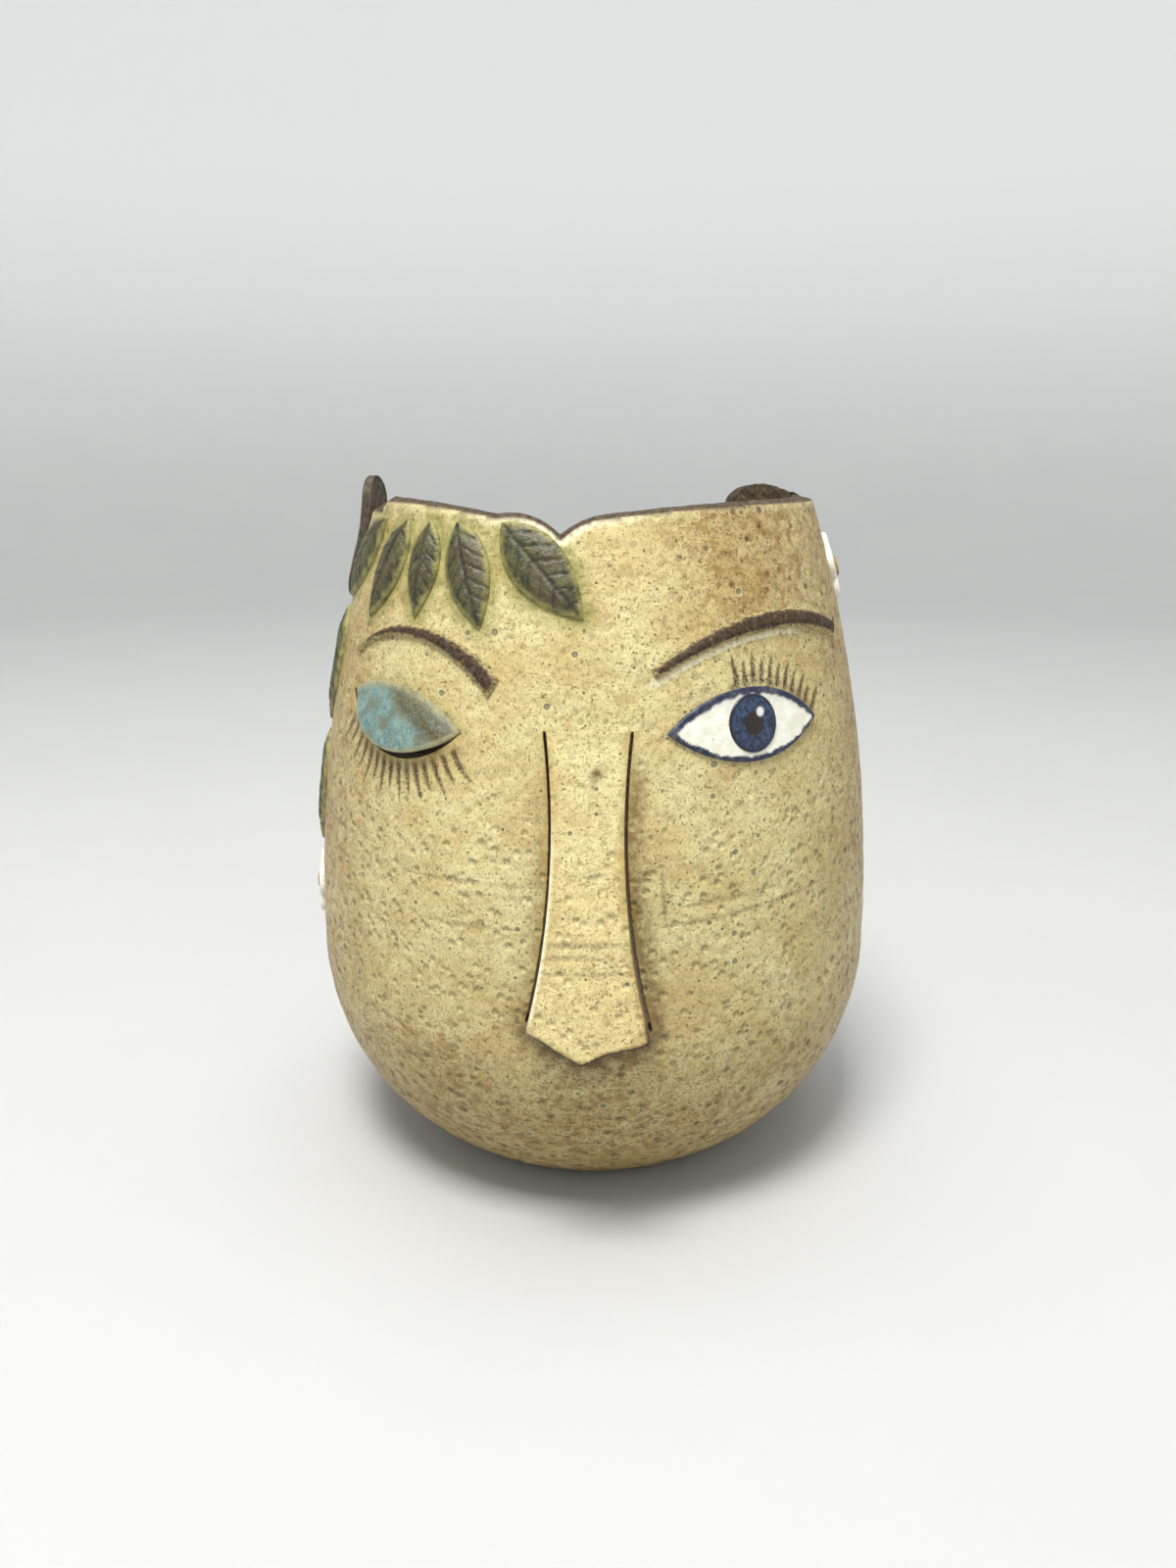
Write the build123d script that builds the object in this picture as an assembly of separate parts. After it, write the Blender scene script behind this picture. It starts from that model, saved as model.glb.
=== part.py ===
from build123d import *
import os
from math import asin, atan, cos, degrees, hypot, radians, sin, sqrt, tan

# A hand-built stoneware face vase, in millimetres and degrees.
# The origin is the middle of the foot, +Z is up and the face looks along -Y.
# An azimuth is measured round the axis from the front, positive to the viewer's right.
# A drop is measured down from the rim's height, so the face keeps its place below the rim.

# Vessel
FOOT_RADIUS = 39.0
BELLY_RADIUS = 70.0
BELLY_HEIGHT = 52.0
RIM_RADIUS = 52.4
RIM_HEIGHT = 160.0
WALL = 4.5
FLOOR = 6.0
FOOT_LANDING = 9.0

# Cut rim, as places across the front or the back, drops and rises
LEFT_CORNER_X = -44.8
LEFT_CORNER_RISE = 0.9
LEFT_SIDE_DROP = 1.6
NICK_X = -20.4
NICK_DROP = 1.8
NOTCH_X = -7.0
NOTCH_DROP = 5.8
NOTCH_LOBE_WIDTH = 8.5
NOTCH_LOBE_DROP = 1.8
NOTCH_SLOPE = 0.1
RIGHT_SIDE_RISE = 0.7
LEFT_LOBE_FLATNESS = 40.0
SMALL_LOBE_FLATNESS = 7.0
RIGHT_LOBE_FLATNESS = 60.0
LOBE_END_X = 36.5
LOBE_RISE = 3.2
LOBE_ROUND = 6.0
BACK_DROP = 13.0
BACK_DIP = 5.0

# Nose, a tongue of the wall that is swung outward about its root
NOSE_AZIMUTH = -1.3
NOSE_ROOT_DROP = 43.5
NOSE_ROOT_WIDTH = 17.2
NOSE_WAIST_DROP = 20.5
NOSE_WAIST_WIDTH = 14.8
NOSE_LENGTH = 60.5
NOSE_CORNER_WIDTH = 25.2
NOSE_TIP_DROP = 6.6
NOSE_LIFT = 7.0
NOSE_SLIT = 0.9

# Closed eyelid, a flap of the wall that bulges out over a slit
LID_AZIMUTH = -42.0
LID_WIDTH = 36.2
LID_TOP_DROP = 36.8
LID_OUTER_FALL = 3.7
LID_INNER_FALL = 8.2
LID_DEPTH = 13.6
LID_LIFT = 3.0
LID_DOME_RADIUS = 42.0
LID_THICKNESS = 3.2
LID_SLIT = 1.7

# Open eye, two coats of slip laid on the wall
EYE_AZIMUTH = 30.6
EYE_DROP = 44.4
EYE_WIDTH = 38.6
EYE_UPPER = 8.2
EYE_LOWER = 7.0
EYE_COAT = 0.6
IRIS_RADIUS = 6.0
IRIS_RISE = 0.8
IRIS_COAT = 0.4

# Brows, strips pressed onto the wall: distances from the middle of each brow
BROW_THICKNESS = 1.4
LEFT_BROW_AZIMUTH = -39.0
LEFT_BROW_DROP = 25.8
LEFT_BROW_REACH = 20.8
LEFT_BROW_OUTER_DROP = 6.2
LEFT_BROW_INNER_DROP = 10.0
LEFT_BROW_OUTER_WIDTH = 1.2
LEFT_BROW_MIDDLE_WIDTH = 2.8
LEFT_BROW_INNER_WIDTH = 4.2
RIGHT_BROW_AZIMUTH = 36.5
RIGHT_BROW_DROP = 23.4
RIGHT_BROW_REACH = 26.5
RIGHT_BROW_OUTER_DROP = 4.2
RIGHT_BROW_INNER_DROP = 9.2
RIGHT_BROW_OUTER_WIDTH = 3.6
RIGHT_BROW_MIDDLE_WIDTH = 4.0
RIGHT_BROW_INNER_WIDTH = 2.2

# Leaves, slabs pressed onto the wall in a fan below the rim and in a trail down the left side
LEAF_THICKNESS = 1.8
LEAF_SLIMNESS = 0.45
LEAF_SHOULDER = 0.22
LEAF_TAPER = 0.62
FAN_AZIMUTH = -40.0
FAN_ROOT_RISE = 20.0
FAN_DROP = 3.0
FAN_TILTS = (-44.0, -22.0, 0.0, 22.0, 44.0)
FAN_LENGTHS = (26.0, 23.0, 20.0, 23.0, 26.0)
TRAIL_AZIMUTHS = (-79.0, -83.0)
TRAIL_DROPS = (38.0, 69.0)
TRAIL_TILTS = (-5.0, 12.0)
TRAIL_LENGTH = 28.0

# Ear, a rounded tongue pressed onto the left side that stands above the rim and flares out
EAR_AZIMUTH = -96.0
EAR_WIDTH = 15.0
EAR_FOOT_DROP = 24.0
EAR_BEND_DROP = 12.0
EAR_RISE = 5.6
EAR_THICKNESS = 2.6
EAR_FLARE_RADIUS = 58.0

# Blossoms on the two sides
LEFT_BLOSSOM_AZIMUTH = -86.0
LEFT_BLOSSOM_DROP = 96.0
RIGHT_BLOSSOM_AZIMUTH = 86.0
RIGHT_BLOSSOM_DROP = 16.0
PETALS = 5
PETAL_RADIUS = 3.7
PETAL_CIRCLE = 4.6
PETAL_THICKNESS = 1.6
BUTTON_RADIUS = 2.6
BUTTON_RISE = 1.2

# Worked out from the vessel
LOWER_ARC = ((BELLY_RADIUS - FOOT_RADIUS) ** 2 + BELLY_HEIGHT**2) / (2 * (BELLY_RADIUS - FOOT_RADIUS))
UPPER_RISE = RIM_HEIGHT - BELLY_HEIGHT
UPPER_ARC = ((BELLY_RADIUS - RIM_RADIUS) ** 2 + UPPER_RISE**2) / (2 * (BELLY_RADIUS - RIM_RADIUS))
RIM_SIDE = RIM_RADIUS - WALL
STOCK_TOP = RIM_HEIGHT + LOBE_RISE + EAR_RISE
REACH = 1.5 * BELLY_RADIUS
NOSE_ROOT_HEIGHT = RIM_HEIGHT - NOSE_ROOT_DROP
NOSE_CORNER_HEIGHT = NOSE_ROOT_HEIGHT - NOSE_LENGTH
LID_TOP_HEIGHT = RIM_HEIGHT - LID_TOP_DROP
LID_BOTTOM_HEIGHT = LID_TOP_HEIGHT - LID_DEPTH
EYE_HEIGHT = RIM_HEIGHT - EYE_DROP


def wall_radius(height, offset=0.0):
    """Outer radius of the vessel at a height, or that of a surface at an offset outside it."""
    arc = UPPER_ARC if height > BELLY_HEIGHT else LOWER_ARC
    return BELLY_RADIUS - arc + sqrt((arc + offset) ** 2 - (height - BELLY_HEIGHT) ** 2)


def core(offset, base=0.0):
    """Solid of revolution above a base, inside the surface at an offset from the vessel's outside."""
    lower_turn = degrees(asin((BELLY_HEIGHT - base) / (LOWER_ARC + offset)))
    upper_turn = degrees(asin((STOCK_TOP - BELLY_HEIGHT) / (UPPER_ARC + offset)))
    lower = CenterArc((BELLY_RADIUS - LOWER_ARC, BELLY_HEIGHT), LOWER_ARC + offset, -lower_turn, lower_turn)
    upper = CenterArc((BELLY_RADIUS - UPPER_ARC, BELLY_HEIGHT), UPPER_ARC + offset, 0, upper_turn)
    closing = Polyline(upper @ 1, (0, STOCK_TOP), (0, base), lower @ 0)
    return revolve(Plane.YZ * make_face([*lower.edges(), *upper.edges(), *closing.edges()]), Axis.Z)


def shell():
    """Vessel with its full wall and a solid foot, before anything is cut from it."""
    return core(0) - core(-WALL, FLOOR)


def facing(azimuth):
    """Plane through the axis that looks outward: x runs to the viewer's right and y runs up."""
    turn = radians(azimuth)
    return Plane(origin=(0, 0, 0), x_dir=(cos(turn), sin(turn), 0), z_dir=(sin(turn), -cos(turn), 0))


def prism(azimuth, outline, start=0.0):
    """Outline drawn on a facing plane, carried from a distance off the axis out past the vessel."""
    return extrude(facing(azimuth).offset(start) * outline, REACH)


def lens(left, right, top, bottom):
    """Almond between two corners, with an arc over it and an arc under it."""
    return make_face([ThreePointArc(left, top, right), ThreePointArc(right, bottom, left)])


def band(middles, widths):
    """Curved strip along an arc through three points, with a width at each."""
    (x0, y0), (x1, y1), (x2, y2) = middles
    ends = [(x1 - x0, y1 - y0), (x2 - x0, y2 - y0), (x2 - x1, y2 - y1)]
    sides = {1: [], -1: []}
    for (x, y), width, (along_x, along_y) in zip(middles, widths, ends):
        half = width / 2 / hypot(along_x, along_y)
        for side, points in sides.items():
            points.append((x - side * half * along_y, y + side * half * along_x))
    over, under = sides[1], sides[-1]
    arcs = [ThreePointArc(*over), ThreePointArc(*under)]
    return make_face([*arcs, Line(over[0], under[0]), Line(over[2], under[2])])


def leaf_outline(length, width):
    """Lance leaf that hangs from the origin, widest in its upper half, with a drawn-out tip."""
    shoulder = -LEAF_SHOULDER * length
    taper = -LEAF_TAPER * length
    # The curve bulges three quarters of the way out to its two middle poles
    pole = width / 2 / 0.75
    sides = [
        Bezier((0, 0), (side * pole, shoulder), (side * pole, taper), (0, -length))
        for side in (-1, 1)
    ]
    return make_face(sides)


def pressed_on(outline_prism, thickness, inner=0.0):
    """Slab of a thickness that lies on the surface at an inner offset, within a prism."""
    return outline_prism & core(inner + thickness) - core(inner)


def front_rim_cut():
    """Everything above the cut rim on the front half, which is level across both sides of the wall."""
    left_side = RIM_HEIGHT - LEFT_SIDE_DROP
    corner = (LEFT_CORNER_X, RIM_HEIGHT + LEFT_CORNER_RISE)
    nick = (NICK_X, RIM_HEIGHT - NICK_DROP)
    notch = (NOTCH_X, RIM_HEIGHT - NOTCH_DROP)
    lobe_end = (NOTCH_X + NOTCH_LOBE_WIDTH, RIM_HEIGHT - NOTCH_LOBE_DROP)
    right_side = RIM_HEIGHT + RIGHT_SIDE_RISE
    above = STOCK_TOP + WALL
    edges = [
        Line((-REACH, left_side), (-RIM_SIDE, left_side)),
        TangentArc((-RIM_SIDE, left_side), corner, tangent=(0, 1)),
        SagittaArc(corner, nick, (nick[0] - corner[0]) / LEFT_LOBE_FLATNESS),
        SagittaArc(nick, notch, (notch[0] - nick[0]) / SMALL_LOBE_FLATNESS),
        TangentArc(lobe_end, notch, tangent=(-1, -NOTCH_SLOPE)),
        SagittaArc(lobe_end, (RIM_SIDE, right_side), (RIM_SIDE - lobe_end[0]) / RIGHT_LOBE_FLATNESS),
        Line((RIM_SIDE, right_side), (REACH, right_side)),
    ]
    closing = Polyline((REACH, right_side), (REACH, above), (-REACH, above), (-REACH, left_side))
    return extrude(facing(0) * make_face([*edges, *closing.edges()]), REACH)


def back_rim_cut():
    """Everything above the cut rim on the back half, drawn as it is seen through the front."""
    left_side = RIM_HEIGHT - LEFT_SIDE_DROP
    right_side = RIM_HEIGHT + RIGHT_SIDE_RISE
    low = RIM_HEIGHT - BACK_DROP
    lobe_top = RIM_HEIGHT + LOBE_RISE
    left_end = LOBE_ROUND - RIM_SIDE
    above = STOCK_TOP + WALL
    edges = [
        Line((-REACH, left_side), (-RIM_SIDE, left_side)),
        TangentArc((-RIM_SIDE, left_side), (left_end, left_side - LOBE_ROUND), tangent=(1, 0)),
        ThreePointArc((left_end, left_side - LOBE_ROUND), (0, low - BACK_DIP), (LOBE_END_X, low)),
        Line((LOBE_END_X, low), (LOBE_END_X, lobe_top - LOBE_ROUND)),
        TangentArc(
            (LOBE_END_X, lobe_top - LOBE_ROUND), (LOBE_END_X + LOBE_ROUND, lobe_top), tangent=(0, 1)
        ),
        TangentArc((LOBE_END_X + LOBE_ROUND, lobe_top), (RIM_SIDE, right_side), tangent=(1, 0)),
        Line((RIM_SIDE, right_side), (REACH, right_side)),
    ]
    closing = Polyline((REACH, right_side), (REACH, above), (-REACH, above), (-REACH, left_side))
    return extrude(facing(0) * make_face([*edges, *closing.edges()]), -REACH)


def nose_outline(gap=0.0):
    """Tongue with a narrow waist and a blunt point, or the slot round it at a gap."""
    root = NOSE_ROOT_WIDTH / 2 + gap
    waist = NOSE_WAIST_WIDTH / 2 + gap
    corner = NOSE_CORNER_WIDTH / 2 + gap
    waist_height = NOSE_ROOT_HEIGHT - NOSE_WAIST_DROP
    corner_height = NOSE_CORNER_HEIGHT - gap
    sides = [
        ThreePointArc(
            (side * root, NOSE_ROOT_HEIGHT), (side * waist, waist_height), (side * corner, corner_height)
        )
        for side in (-1, 1)
    ]
    point = Polyline((-corner, corner_height), (0, corner_height - NOSE_TIP_DROP), (corner, corner_height))
    root_line = Line((-root, NOSE_ROOT_HEIGHT), (root, NOSE_ROOT_HEIGHT))
    return make_face([*sides, *point.edges(), root_line])


def lid_outline(slit=0.0):
    """Almond of the closed lid, or its opening with a slit below it."""
    half = LID_WIDTH / 2
    outer = (-half, LID_TOP_HEIGHT - LID_OUTER_FALL)
    inner = (half, LID_TOP_HEIGHT - LID_INNER_FALL)
    return lens(outer, inner, (0, LID_TOP_HEIGHT), (0, LID_BOTTOM_HEIGHT - slit))


def nose_strip():
    """Piece of the wall that is swung outward about the outer edge of its root."""
    swing = degrees(atan(NOSE_LIFT / (NOSE_ROOT_HEIGHT - NOSE_CORNER_HEIGHT)))
    plane = facing(NOSE_AZIMUTH)
    root = plane.z_dir * wall_radius(NOSE_ROOT_HEIGHT) + Vector(0, 0, NOSE_ROOT_HEIGHT)
    swung = shell().rotate(Axis(root, plane.x_dir), -swing)
    return prism(NOSE_AZIMUTH, nose_outline()) & swung


def closed_eyelid():
    """Domed flap that is level with the wall at its top edge and stands out at its lower edge."""
    low_out = wall_radius(LID_BOTTOM_HEIGHT) + LID_LIFT
    high_out = wall_radius(LID_TOP_HEIGHT)
    chord = hypot(high_out - low_out, LID_DEPTH)
    inward = sqrt(LID_DOME_RADIUS**2 - chord**2 / 4) / chord
    centre_out = (low_out + high_out) / 2 - inward * LID_DEPTH
    centre_height = (LID_BOTTOM_HEIGHT + LID_TOP_HEIGHT) / 2 - inward * (low_out - high_out)
    centre = facing(LID_AZIMUTH).z_dir * centre_out + Vector(0, 0, centre_height)
    dome = Pos(centre) * (Sphere(LID_DOME_RADIUS) - Sphere(LID_DOME_RADIUS - LID_THICKNESS))
    return prism(LID_AZIMUTH, lid_outline(), centre_out) & dome


def vase_wall():
    """Wall of the vessel with its cut rim, the slot round the nose and the openings of lid and foot."""
    wall = shell() - front_rim_cut() - back_rim_cut()
    wall -= prism(NOSE_AZIMUTH, nose_outline(NOSE_SLIT))
    wall -= prism(LID_AZIMUTH, lid_outline(LID_SLIT))
    return wall - floor_disc()


def floor_disc():
    """Slab that closes the foot, seated inside the ring on which the wall lands."""
    return Pos(0, 0, FLOOR / 2) * Cylinder(FOOT_RADIUS - FOOT_LANDING, FLOOR)


def eye_white():
    """Almond coat of the open eye."""
    inner = (-EYE_WIDTH / 2, EYE_HEIGHT)
    outer = (EYE_WIDTH / 2, EYE_HEIGHT)
    outline = lens(inner, outer, (0, EYE_HEIGHT + EYE_UPPER), (0, EYE_HEIGHT - EYE_LOWER))
    return pressed_on(prism(EYE_AZIMUTH, outline), EYE_COAT)


def eye_iris():
    """Round coat on top of the white."""
    outline = Pos(0, EYE_HEIGHT + IRIS_RISE) * Circle(IRIS_RADIUS)
    return pressed_on(prism(EYE_AZIMUTH, outline), IRIS_COAT, EYE_COAT)


def left_brow():
    """Arched strip that thickens towards the nose."""
    height = RIM_HEIGHT - LEFT_BROW_DROP
    middles = [
        (-LEFT_BROW_REACH, height - LEFT_BROW_OUTER_DROP),
        (0, height),
        (LEFT_BROW_REACH, height - LEFT_BROW_INNER_DROP),
    ]
    widths = (LEFT_BROW_OUTER_WIDTH, LEFT_BROW_MIDDLE_WIDTH, LEFT_BROW_INNER_WIDTH)
    return pressed_on(prism(LEFT_BROW_AZIMUTH, band(middles, widths)), BROW_THICKNESS)


def right_brow():
    """Longer raised strip over the open eye."""
    height = RIM_HEIGHT - RIGHT_BROW_DROP
    middles = [
        (-RIGHT_BROW_REACH, height - RIGHT_BROW_INNER_DROP),
        (0, height),
        (RIGHT_BROW_REACH, height - RIGHT_BROW_OUTER_DROP),
    ]
    widths = (RIGHT_BROW_INNER_WIDTH, RIGHT_BROW_MIDDLE_WIDTH, RIGHT_BROW_OUTER_WIDTH)
    return pressed_on(prism(RIGHT_BROW_AZIMUTH, band(middles, widths)), BROW_THICKNESS)


def leaf(azimuth, height, tilt, length):
    """Leaf whose middle lies at an azimuth and a height, turned by a tilt from hanging straight down."""
    hanging = Pos(0, length / 2) * leaf_outline(length, LEAF_SLIMNESS * length)
    outline = Pos(0, height) * Rot(0, 0, tilt) * hanging
    return pressed_on(prism(azimuth, outline), LEAF_THICKNESS)


def fan_leaf(tilt, length):
    """Leaf of the fan, which hangs from the rim and points away from a root above it."""
    across = FAN_ROOT_RISE * tan(radians(tilt)) + length / 2 * sin(radians(tilt))
    height = RIM_HEIGHT - FAN_DROP - length / 2 * cos(radians(tilt))
    azimuth = FAN_AZIMUTH + degrees(across / wall_radius(height))
    return leaf(azimuth, height, tilt, length) - front_rim_cut() - back_rim_cut()


def left_rim_ear():
    """Tongue that follows the wall up to a bend and then flares out above the rim."""
    foot = RIM_HEIGHT - EAR_FOOT_DROP
    bend = RIM_HEIGHT - EAR_BEND_DROP
    top = RIM_HEIGHT + EAR_RISE
    centre = (BELLY_RADIUS - UPPER_ARC, BELLY_HEIGHT)
    foot_turn = degrees(asin((foot - BELLY_HEIGHT) / UPPER_ARC))
    bend_turn = degrees(asin((bend - BELLY_HEIGHT) / UPPER_ARC))
    flare_centre_height = bend + EAR_FLARE_RADIUS * sin(radians(bend_turn))
    flare_centre = (wall_radius(bend) + EAR_FLARE_RADIUS * cos(radians(bend_turn)), flare_centre_height)
    flare_turn = bend_turn + degrees(asin((top - flare_centre_height) / EAR_FLARE_RADIUS))
    faces = []
    for offset in (0, EAR_THICKNESS):
        along = CenterArc(centre, UPPER_ARC + offset, foot_turn, bend_turn - foot_turn)
        flared = CenterArc(flare_centre, EAR_FLARE_RADIUS - offset, 180 + bend_turn, -flare_turn)
        faces.append((along, flared))
    (inner, inner_flare), (outer, outer_flare) = faces
    edges = [inner, inner_flare, Line(inner_flare @ 1, outer_flare @ 1), outer_flare, outer]
    section = make_face([*edges, Line(outer @ 0, inner @ 0)])
    ring = revolve(Plane.YZ * section, Axis.Z)
    half = EAR_WIDTH / 2
    outline = Pos(0, (foot + top) / 2) * SlotOverall(top - foot, 2 * half, rotation=90)
    return prism(EAR_AZIMUTH, outline) & ring


def blossom(azimuth, drop):
    """Ring of round petals in one piece."""
    petals = Circle(PETAL_CIRCLE)
    for number in range(PETALS):
        petals += Rot(0, 0, 360 * number / PETALS) * Pos(0, PETAL_CIRCLE) * Circle(PETAL_RADIUS)
    outline = Pos(0, RIM_HEIGHT - drop) * petals
    return pressed_on(prism(azimuth, outline), PETAL_THICKNESS)


def blossom_button(azimuth, drop):
    """Small round button on the middle of a blossom."""
    outline = Pos(0, RIM_HEIGHT - drop) * Circle(BUTTON_RADIUS)
    return pressed_on(prism(azimuth, outline), BUTTON_RISE, PETAL_THICKNESS)


def pieces():
    """Every piece of the vase by its node name."""
    named = {
        "vase_wall": vase_wall(),
        "floor_disc": floor_disc(),
        "nose_strip": nose_strip(),
        "closed_eyelid": closed_eyelid(),
        "eye_white": eye_white(),
        "eye_iris": eye_iris(),
        "left_brow": left_brow(),
        "right_brow": right_brow(),
        "left_rim_ear": left_rim_ear(),
        "left_blossom": blossom(LEFT_BLOSSOM_AZIMUTH, LEFT_BLOSSOM_DROP),
        "left_blossom_button": blossom_button(LEFT_BLOSSOM_AZIMUTH, LEFT_BLOSSOM_DROP),
        "right_blossom": blossom(RIGHT_BLOSSOM_AZIMUTH, RIGHT_BLOSSOM_DROP),
        "right_blossom_button": blossom_button(RIGHT_BLOSSOM_AZIMUTH, RIGHT_BLOSSOM_DROP),
    }
    for number, (tilt, length) in enumerate(zip(FAN_TILTS, FAN_LENGTHS), 1):
        named[f"fan_leaf_{number}"] = fan_leaf(tilt, length)
    for number, (azimuth, drop, tilt) in enumerate(zip(TRAIL_AZIMUTHS, TRAIL_DROPS, TRAIL_TILTS), 1):
        named[f"trail_leaf_{number}"] = leaf(azimuth, RIM_HEIGHT - drop, tilt, TRAIL_LENGTH)
    return named


os.makedirs("parts", exist_ok=True)
for name, shape in pieces().items():
    export_step(shape, f"parts/{name}.step")
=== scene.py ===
"""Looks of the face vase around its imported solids.

Sizes are in millimetres until a mesh is made, and azimuths are measured round the axis from the front,
positive to the viewer's right.
"""
from math import atan, atan2, cos, pi, radians, sin, sqrt

import bmesh
import bpy
import numpy as np
from mathutils import Euler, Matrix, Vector, noise
from mathutils.geometry import convex_hull_2d, delaunay_2d_cdt
from mathutils.kdtree import KDTree


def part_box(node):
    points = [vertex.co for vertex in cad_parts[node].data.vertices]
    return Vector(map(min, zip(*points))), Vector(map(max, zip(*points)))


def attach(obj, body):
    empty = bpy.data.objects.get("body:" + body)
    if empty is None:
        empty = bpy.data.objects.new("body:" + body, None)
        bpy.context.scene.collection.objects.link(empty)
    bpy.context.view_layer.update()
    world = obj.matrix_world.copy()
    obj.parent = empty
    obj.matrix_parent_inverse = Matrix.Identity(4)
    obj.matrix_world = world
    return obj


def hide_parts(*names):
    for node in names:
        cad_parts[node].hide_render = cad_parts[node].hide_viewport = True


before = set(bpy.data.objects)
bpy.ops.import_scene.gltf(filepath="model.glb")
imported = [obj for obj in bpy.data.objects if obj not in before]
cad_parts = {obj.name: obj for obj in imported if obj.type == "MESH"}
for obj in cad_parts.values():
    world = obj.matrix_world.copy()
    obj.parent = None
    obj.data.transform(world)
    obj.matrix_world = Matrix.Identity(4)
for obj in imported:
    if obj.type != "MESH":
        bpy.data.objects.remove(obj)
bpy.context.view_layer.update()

MM = 0.001
UP = np.array([0, 0, 1])

# Vessel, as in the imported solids
FOOT_RADIUS = 39.0
BELLY_RADIUS = 70.0
BELLY_HEIGHT = 52.0
RIM_RADIUS = 52.4
RIM_HEIGHT = 160.0
WALL = 4.5
FLOOR = 6.0
FOOT_HOLE_RADIUS = 30.0
NOSE_ROOT_HEIGHT = RIM_HEIGHT - 43.5
NOSE_LIFT = 7.0
NOSE_LENGTH = 60.5
NOSE_CORNER_HEIGHT = NOSE_ROOT_HEIGHT - NOSE_LENGTH
LID_WIDTH = 36.2
LID_OUTER_FALL = 3.7
LID_INNER_FALL = 8.2
LID_TOP_HEIGHT = RIM_HEIGHT - 36.8
LID_DEPTH = 13.6
LID_LIFT = 3.0
LID_DOME_RADIUS = 42.0
LID_THICKNESS = 3.2
EYE_COAT = 0.6
IRIS_COAT = EYE_COAT + 0.4
PETAL_THICKNESS = 1.6
CUT_AZIMUTHS = {"nose_strip": radians(-1.3), "closed_eyelid": radians(-42), "left_rim_ear": radians(-96)}
NOTCH_AZIMUTH = radians(-10)
EAR_BEND_HEIGHT = 148.0
EAR_FLARE_RADIUS = 58.0

LOWER_ARC = ((BELLY_RADIUS - FOOT_RADIUS) ** 2 + BELLY_HEIGHT**2) / (2 * (BELLY_RADIUS - FOOT_RADIUS))
UPPER_RISE = RIM_HEIGHT - BELLY_HEIGHT
UPPER_ARC = ((BELLY_RADIUS - RIM_RADIUS) ** 2 + UPPER_RISE**2) / (2 * (BELLY_RADIUS - RIM_RADIUS))
FOOT_TO_BELLY = LOWER_ARC * np.arcsin(BELLY_HEIGHT / LOWER_ARC)

# Hand-worked details that the solids don't have
RIM_ROUNDING = 1.2
SLIT_ROUNDING = 0.3
SLIT_CLOSING = 0.32
CORNER_ASKEW = 1.9
CORNER_FLARE = 0.2
TIP_ASKEW = 1.1
LASH_GROOVE = 0.16
LASH_WIDTHS = (0.5, 0.2)
TOOL_GROOVE = 0.12
TOOL_WIDTH = 0.32
BEVEL_WIDTH = 1.5
NOSE_SPOT = (1.6, 108.0)
VEINS = 6
VEIN_SLANT = 0.85
VEIN_GROOVE = 0.34
SUNK = -0.6
BROW_EDGE = 0.9
BROW_CROWN = 0.4
LEAF_RIM = 0.75
LEAF_CUSHION = 0.9
PETAL_FRONT = 1.1
PETAL_CUP = 0.4
BUTTON_RISE = 0.5
EAR_FRONT = 2.6
GLINT_PLACE = (1.7, 2.2)
PUPIL_EDGE = (2.7, 2.2)
RING_EDGE = (5.0, 5.8)

# Fineness of the meshes
UNROLLED_RADIUS = 64.0
BACK_SEAM = pi * UNROLLED_RADIUS
SEAM_CLEARANCE = 0.1
OUTSIDE_SPACING = 1.15
INSIDE_SPACING = 3.2
OUTSIDE_RIM_SPACING = 0.25
INSIDE_RIM_SPACING = 0.5
HOLE_SPACING = 0.8
OUTLINE_SPACING = 0.5
STROKE_SPACING = 0.42
STROKE_CELL = STROKE_SPACING * 0.8
MARK_POINTS = 160
LASH_POINTS = 24
BEVEL_COLUMNS = 40
BEVELLED = range(1, 28)
ROUNDING_ROWS = (0.1, 0.35, 0.7, 1.05)
ROW_CLEARANCE = 0.9
SWING_ROUNDS = 8

# What counts as an edge, a side or a seam of a solid
CORNER_TURN = radians(25)
SHARP_TURN = radians(5)
CREASE_TURN = radians(55)
SIDE_LOOK = 0.15
FRONT_LOOK = 0.3
SURFACE_SLACK = 0.03
SEAM_SLACK = 0.3
LEAST_OPENING = 5.0
TINY = 1e-9

# Camera, in metres, and the bowl that is the floor and the backdrop
CAMERA_PLACE = (-0.0015, -0.294, 0.1686)
CAMERA_TILT = radians(90 - 15.28)
LENS = 27.0
SENSOR = 36.0
BOWL_FLAT = 1.2
BOWL_CURVE = 0.7
BOWL_HEIGHT = 2.4
BOWL_STEPS = 10
BOWL_TURNS = 72

# Tool marks as first and last azimuth in degrees, and first and last height
TOOL_MARKS = [
    (-36, -9, 84.0, 84.5),
    (-33, -14, 74.6, 75.2),
    (11, 48, 75.9, 78.9),
    (15, 35, 80.0, 81.2),
    (-70, -44, 88.5, 88.0),
    (58, 120, 83.0, 84.0),
    (140, 205, 80.0, 79.0),
    (-150, -95, 72.0, 73.5),
    (11.6, 12.2, 88.0, 77.0),
]
NOSE_MARKS = [
    (-10.5, 8.5, 74.6, 74.8),
    (-9.5, 3.0, 72.0, 71.8),
    (-10.0, 7.5, 68.5, 68.9),
]

LEAF_NODES = [f"fan_leaf_{number}" for number in range(1, 6)] + ["trail_leaf_1", "trail_leaf_2"]

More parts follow.
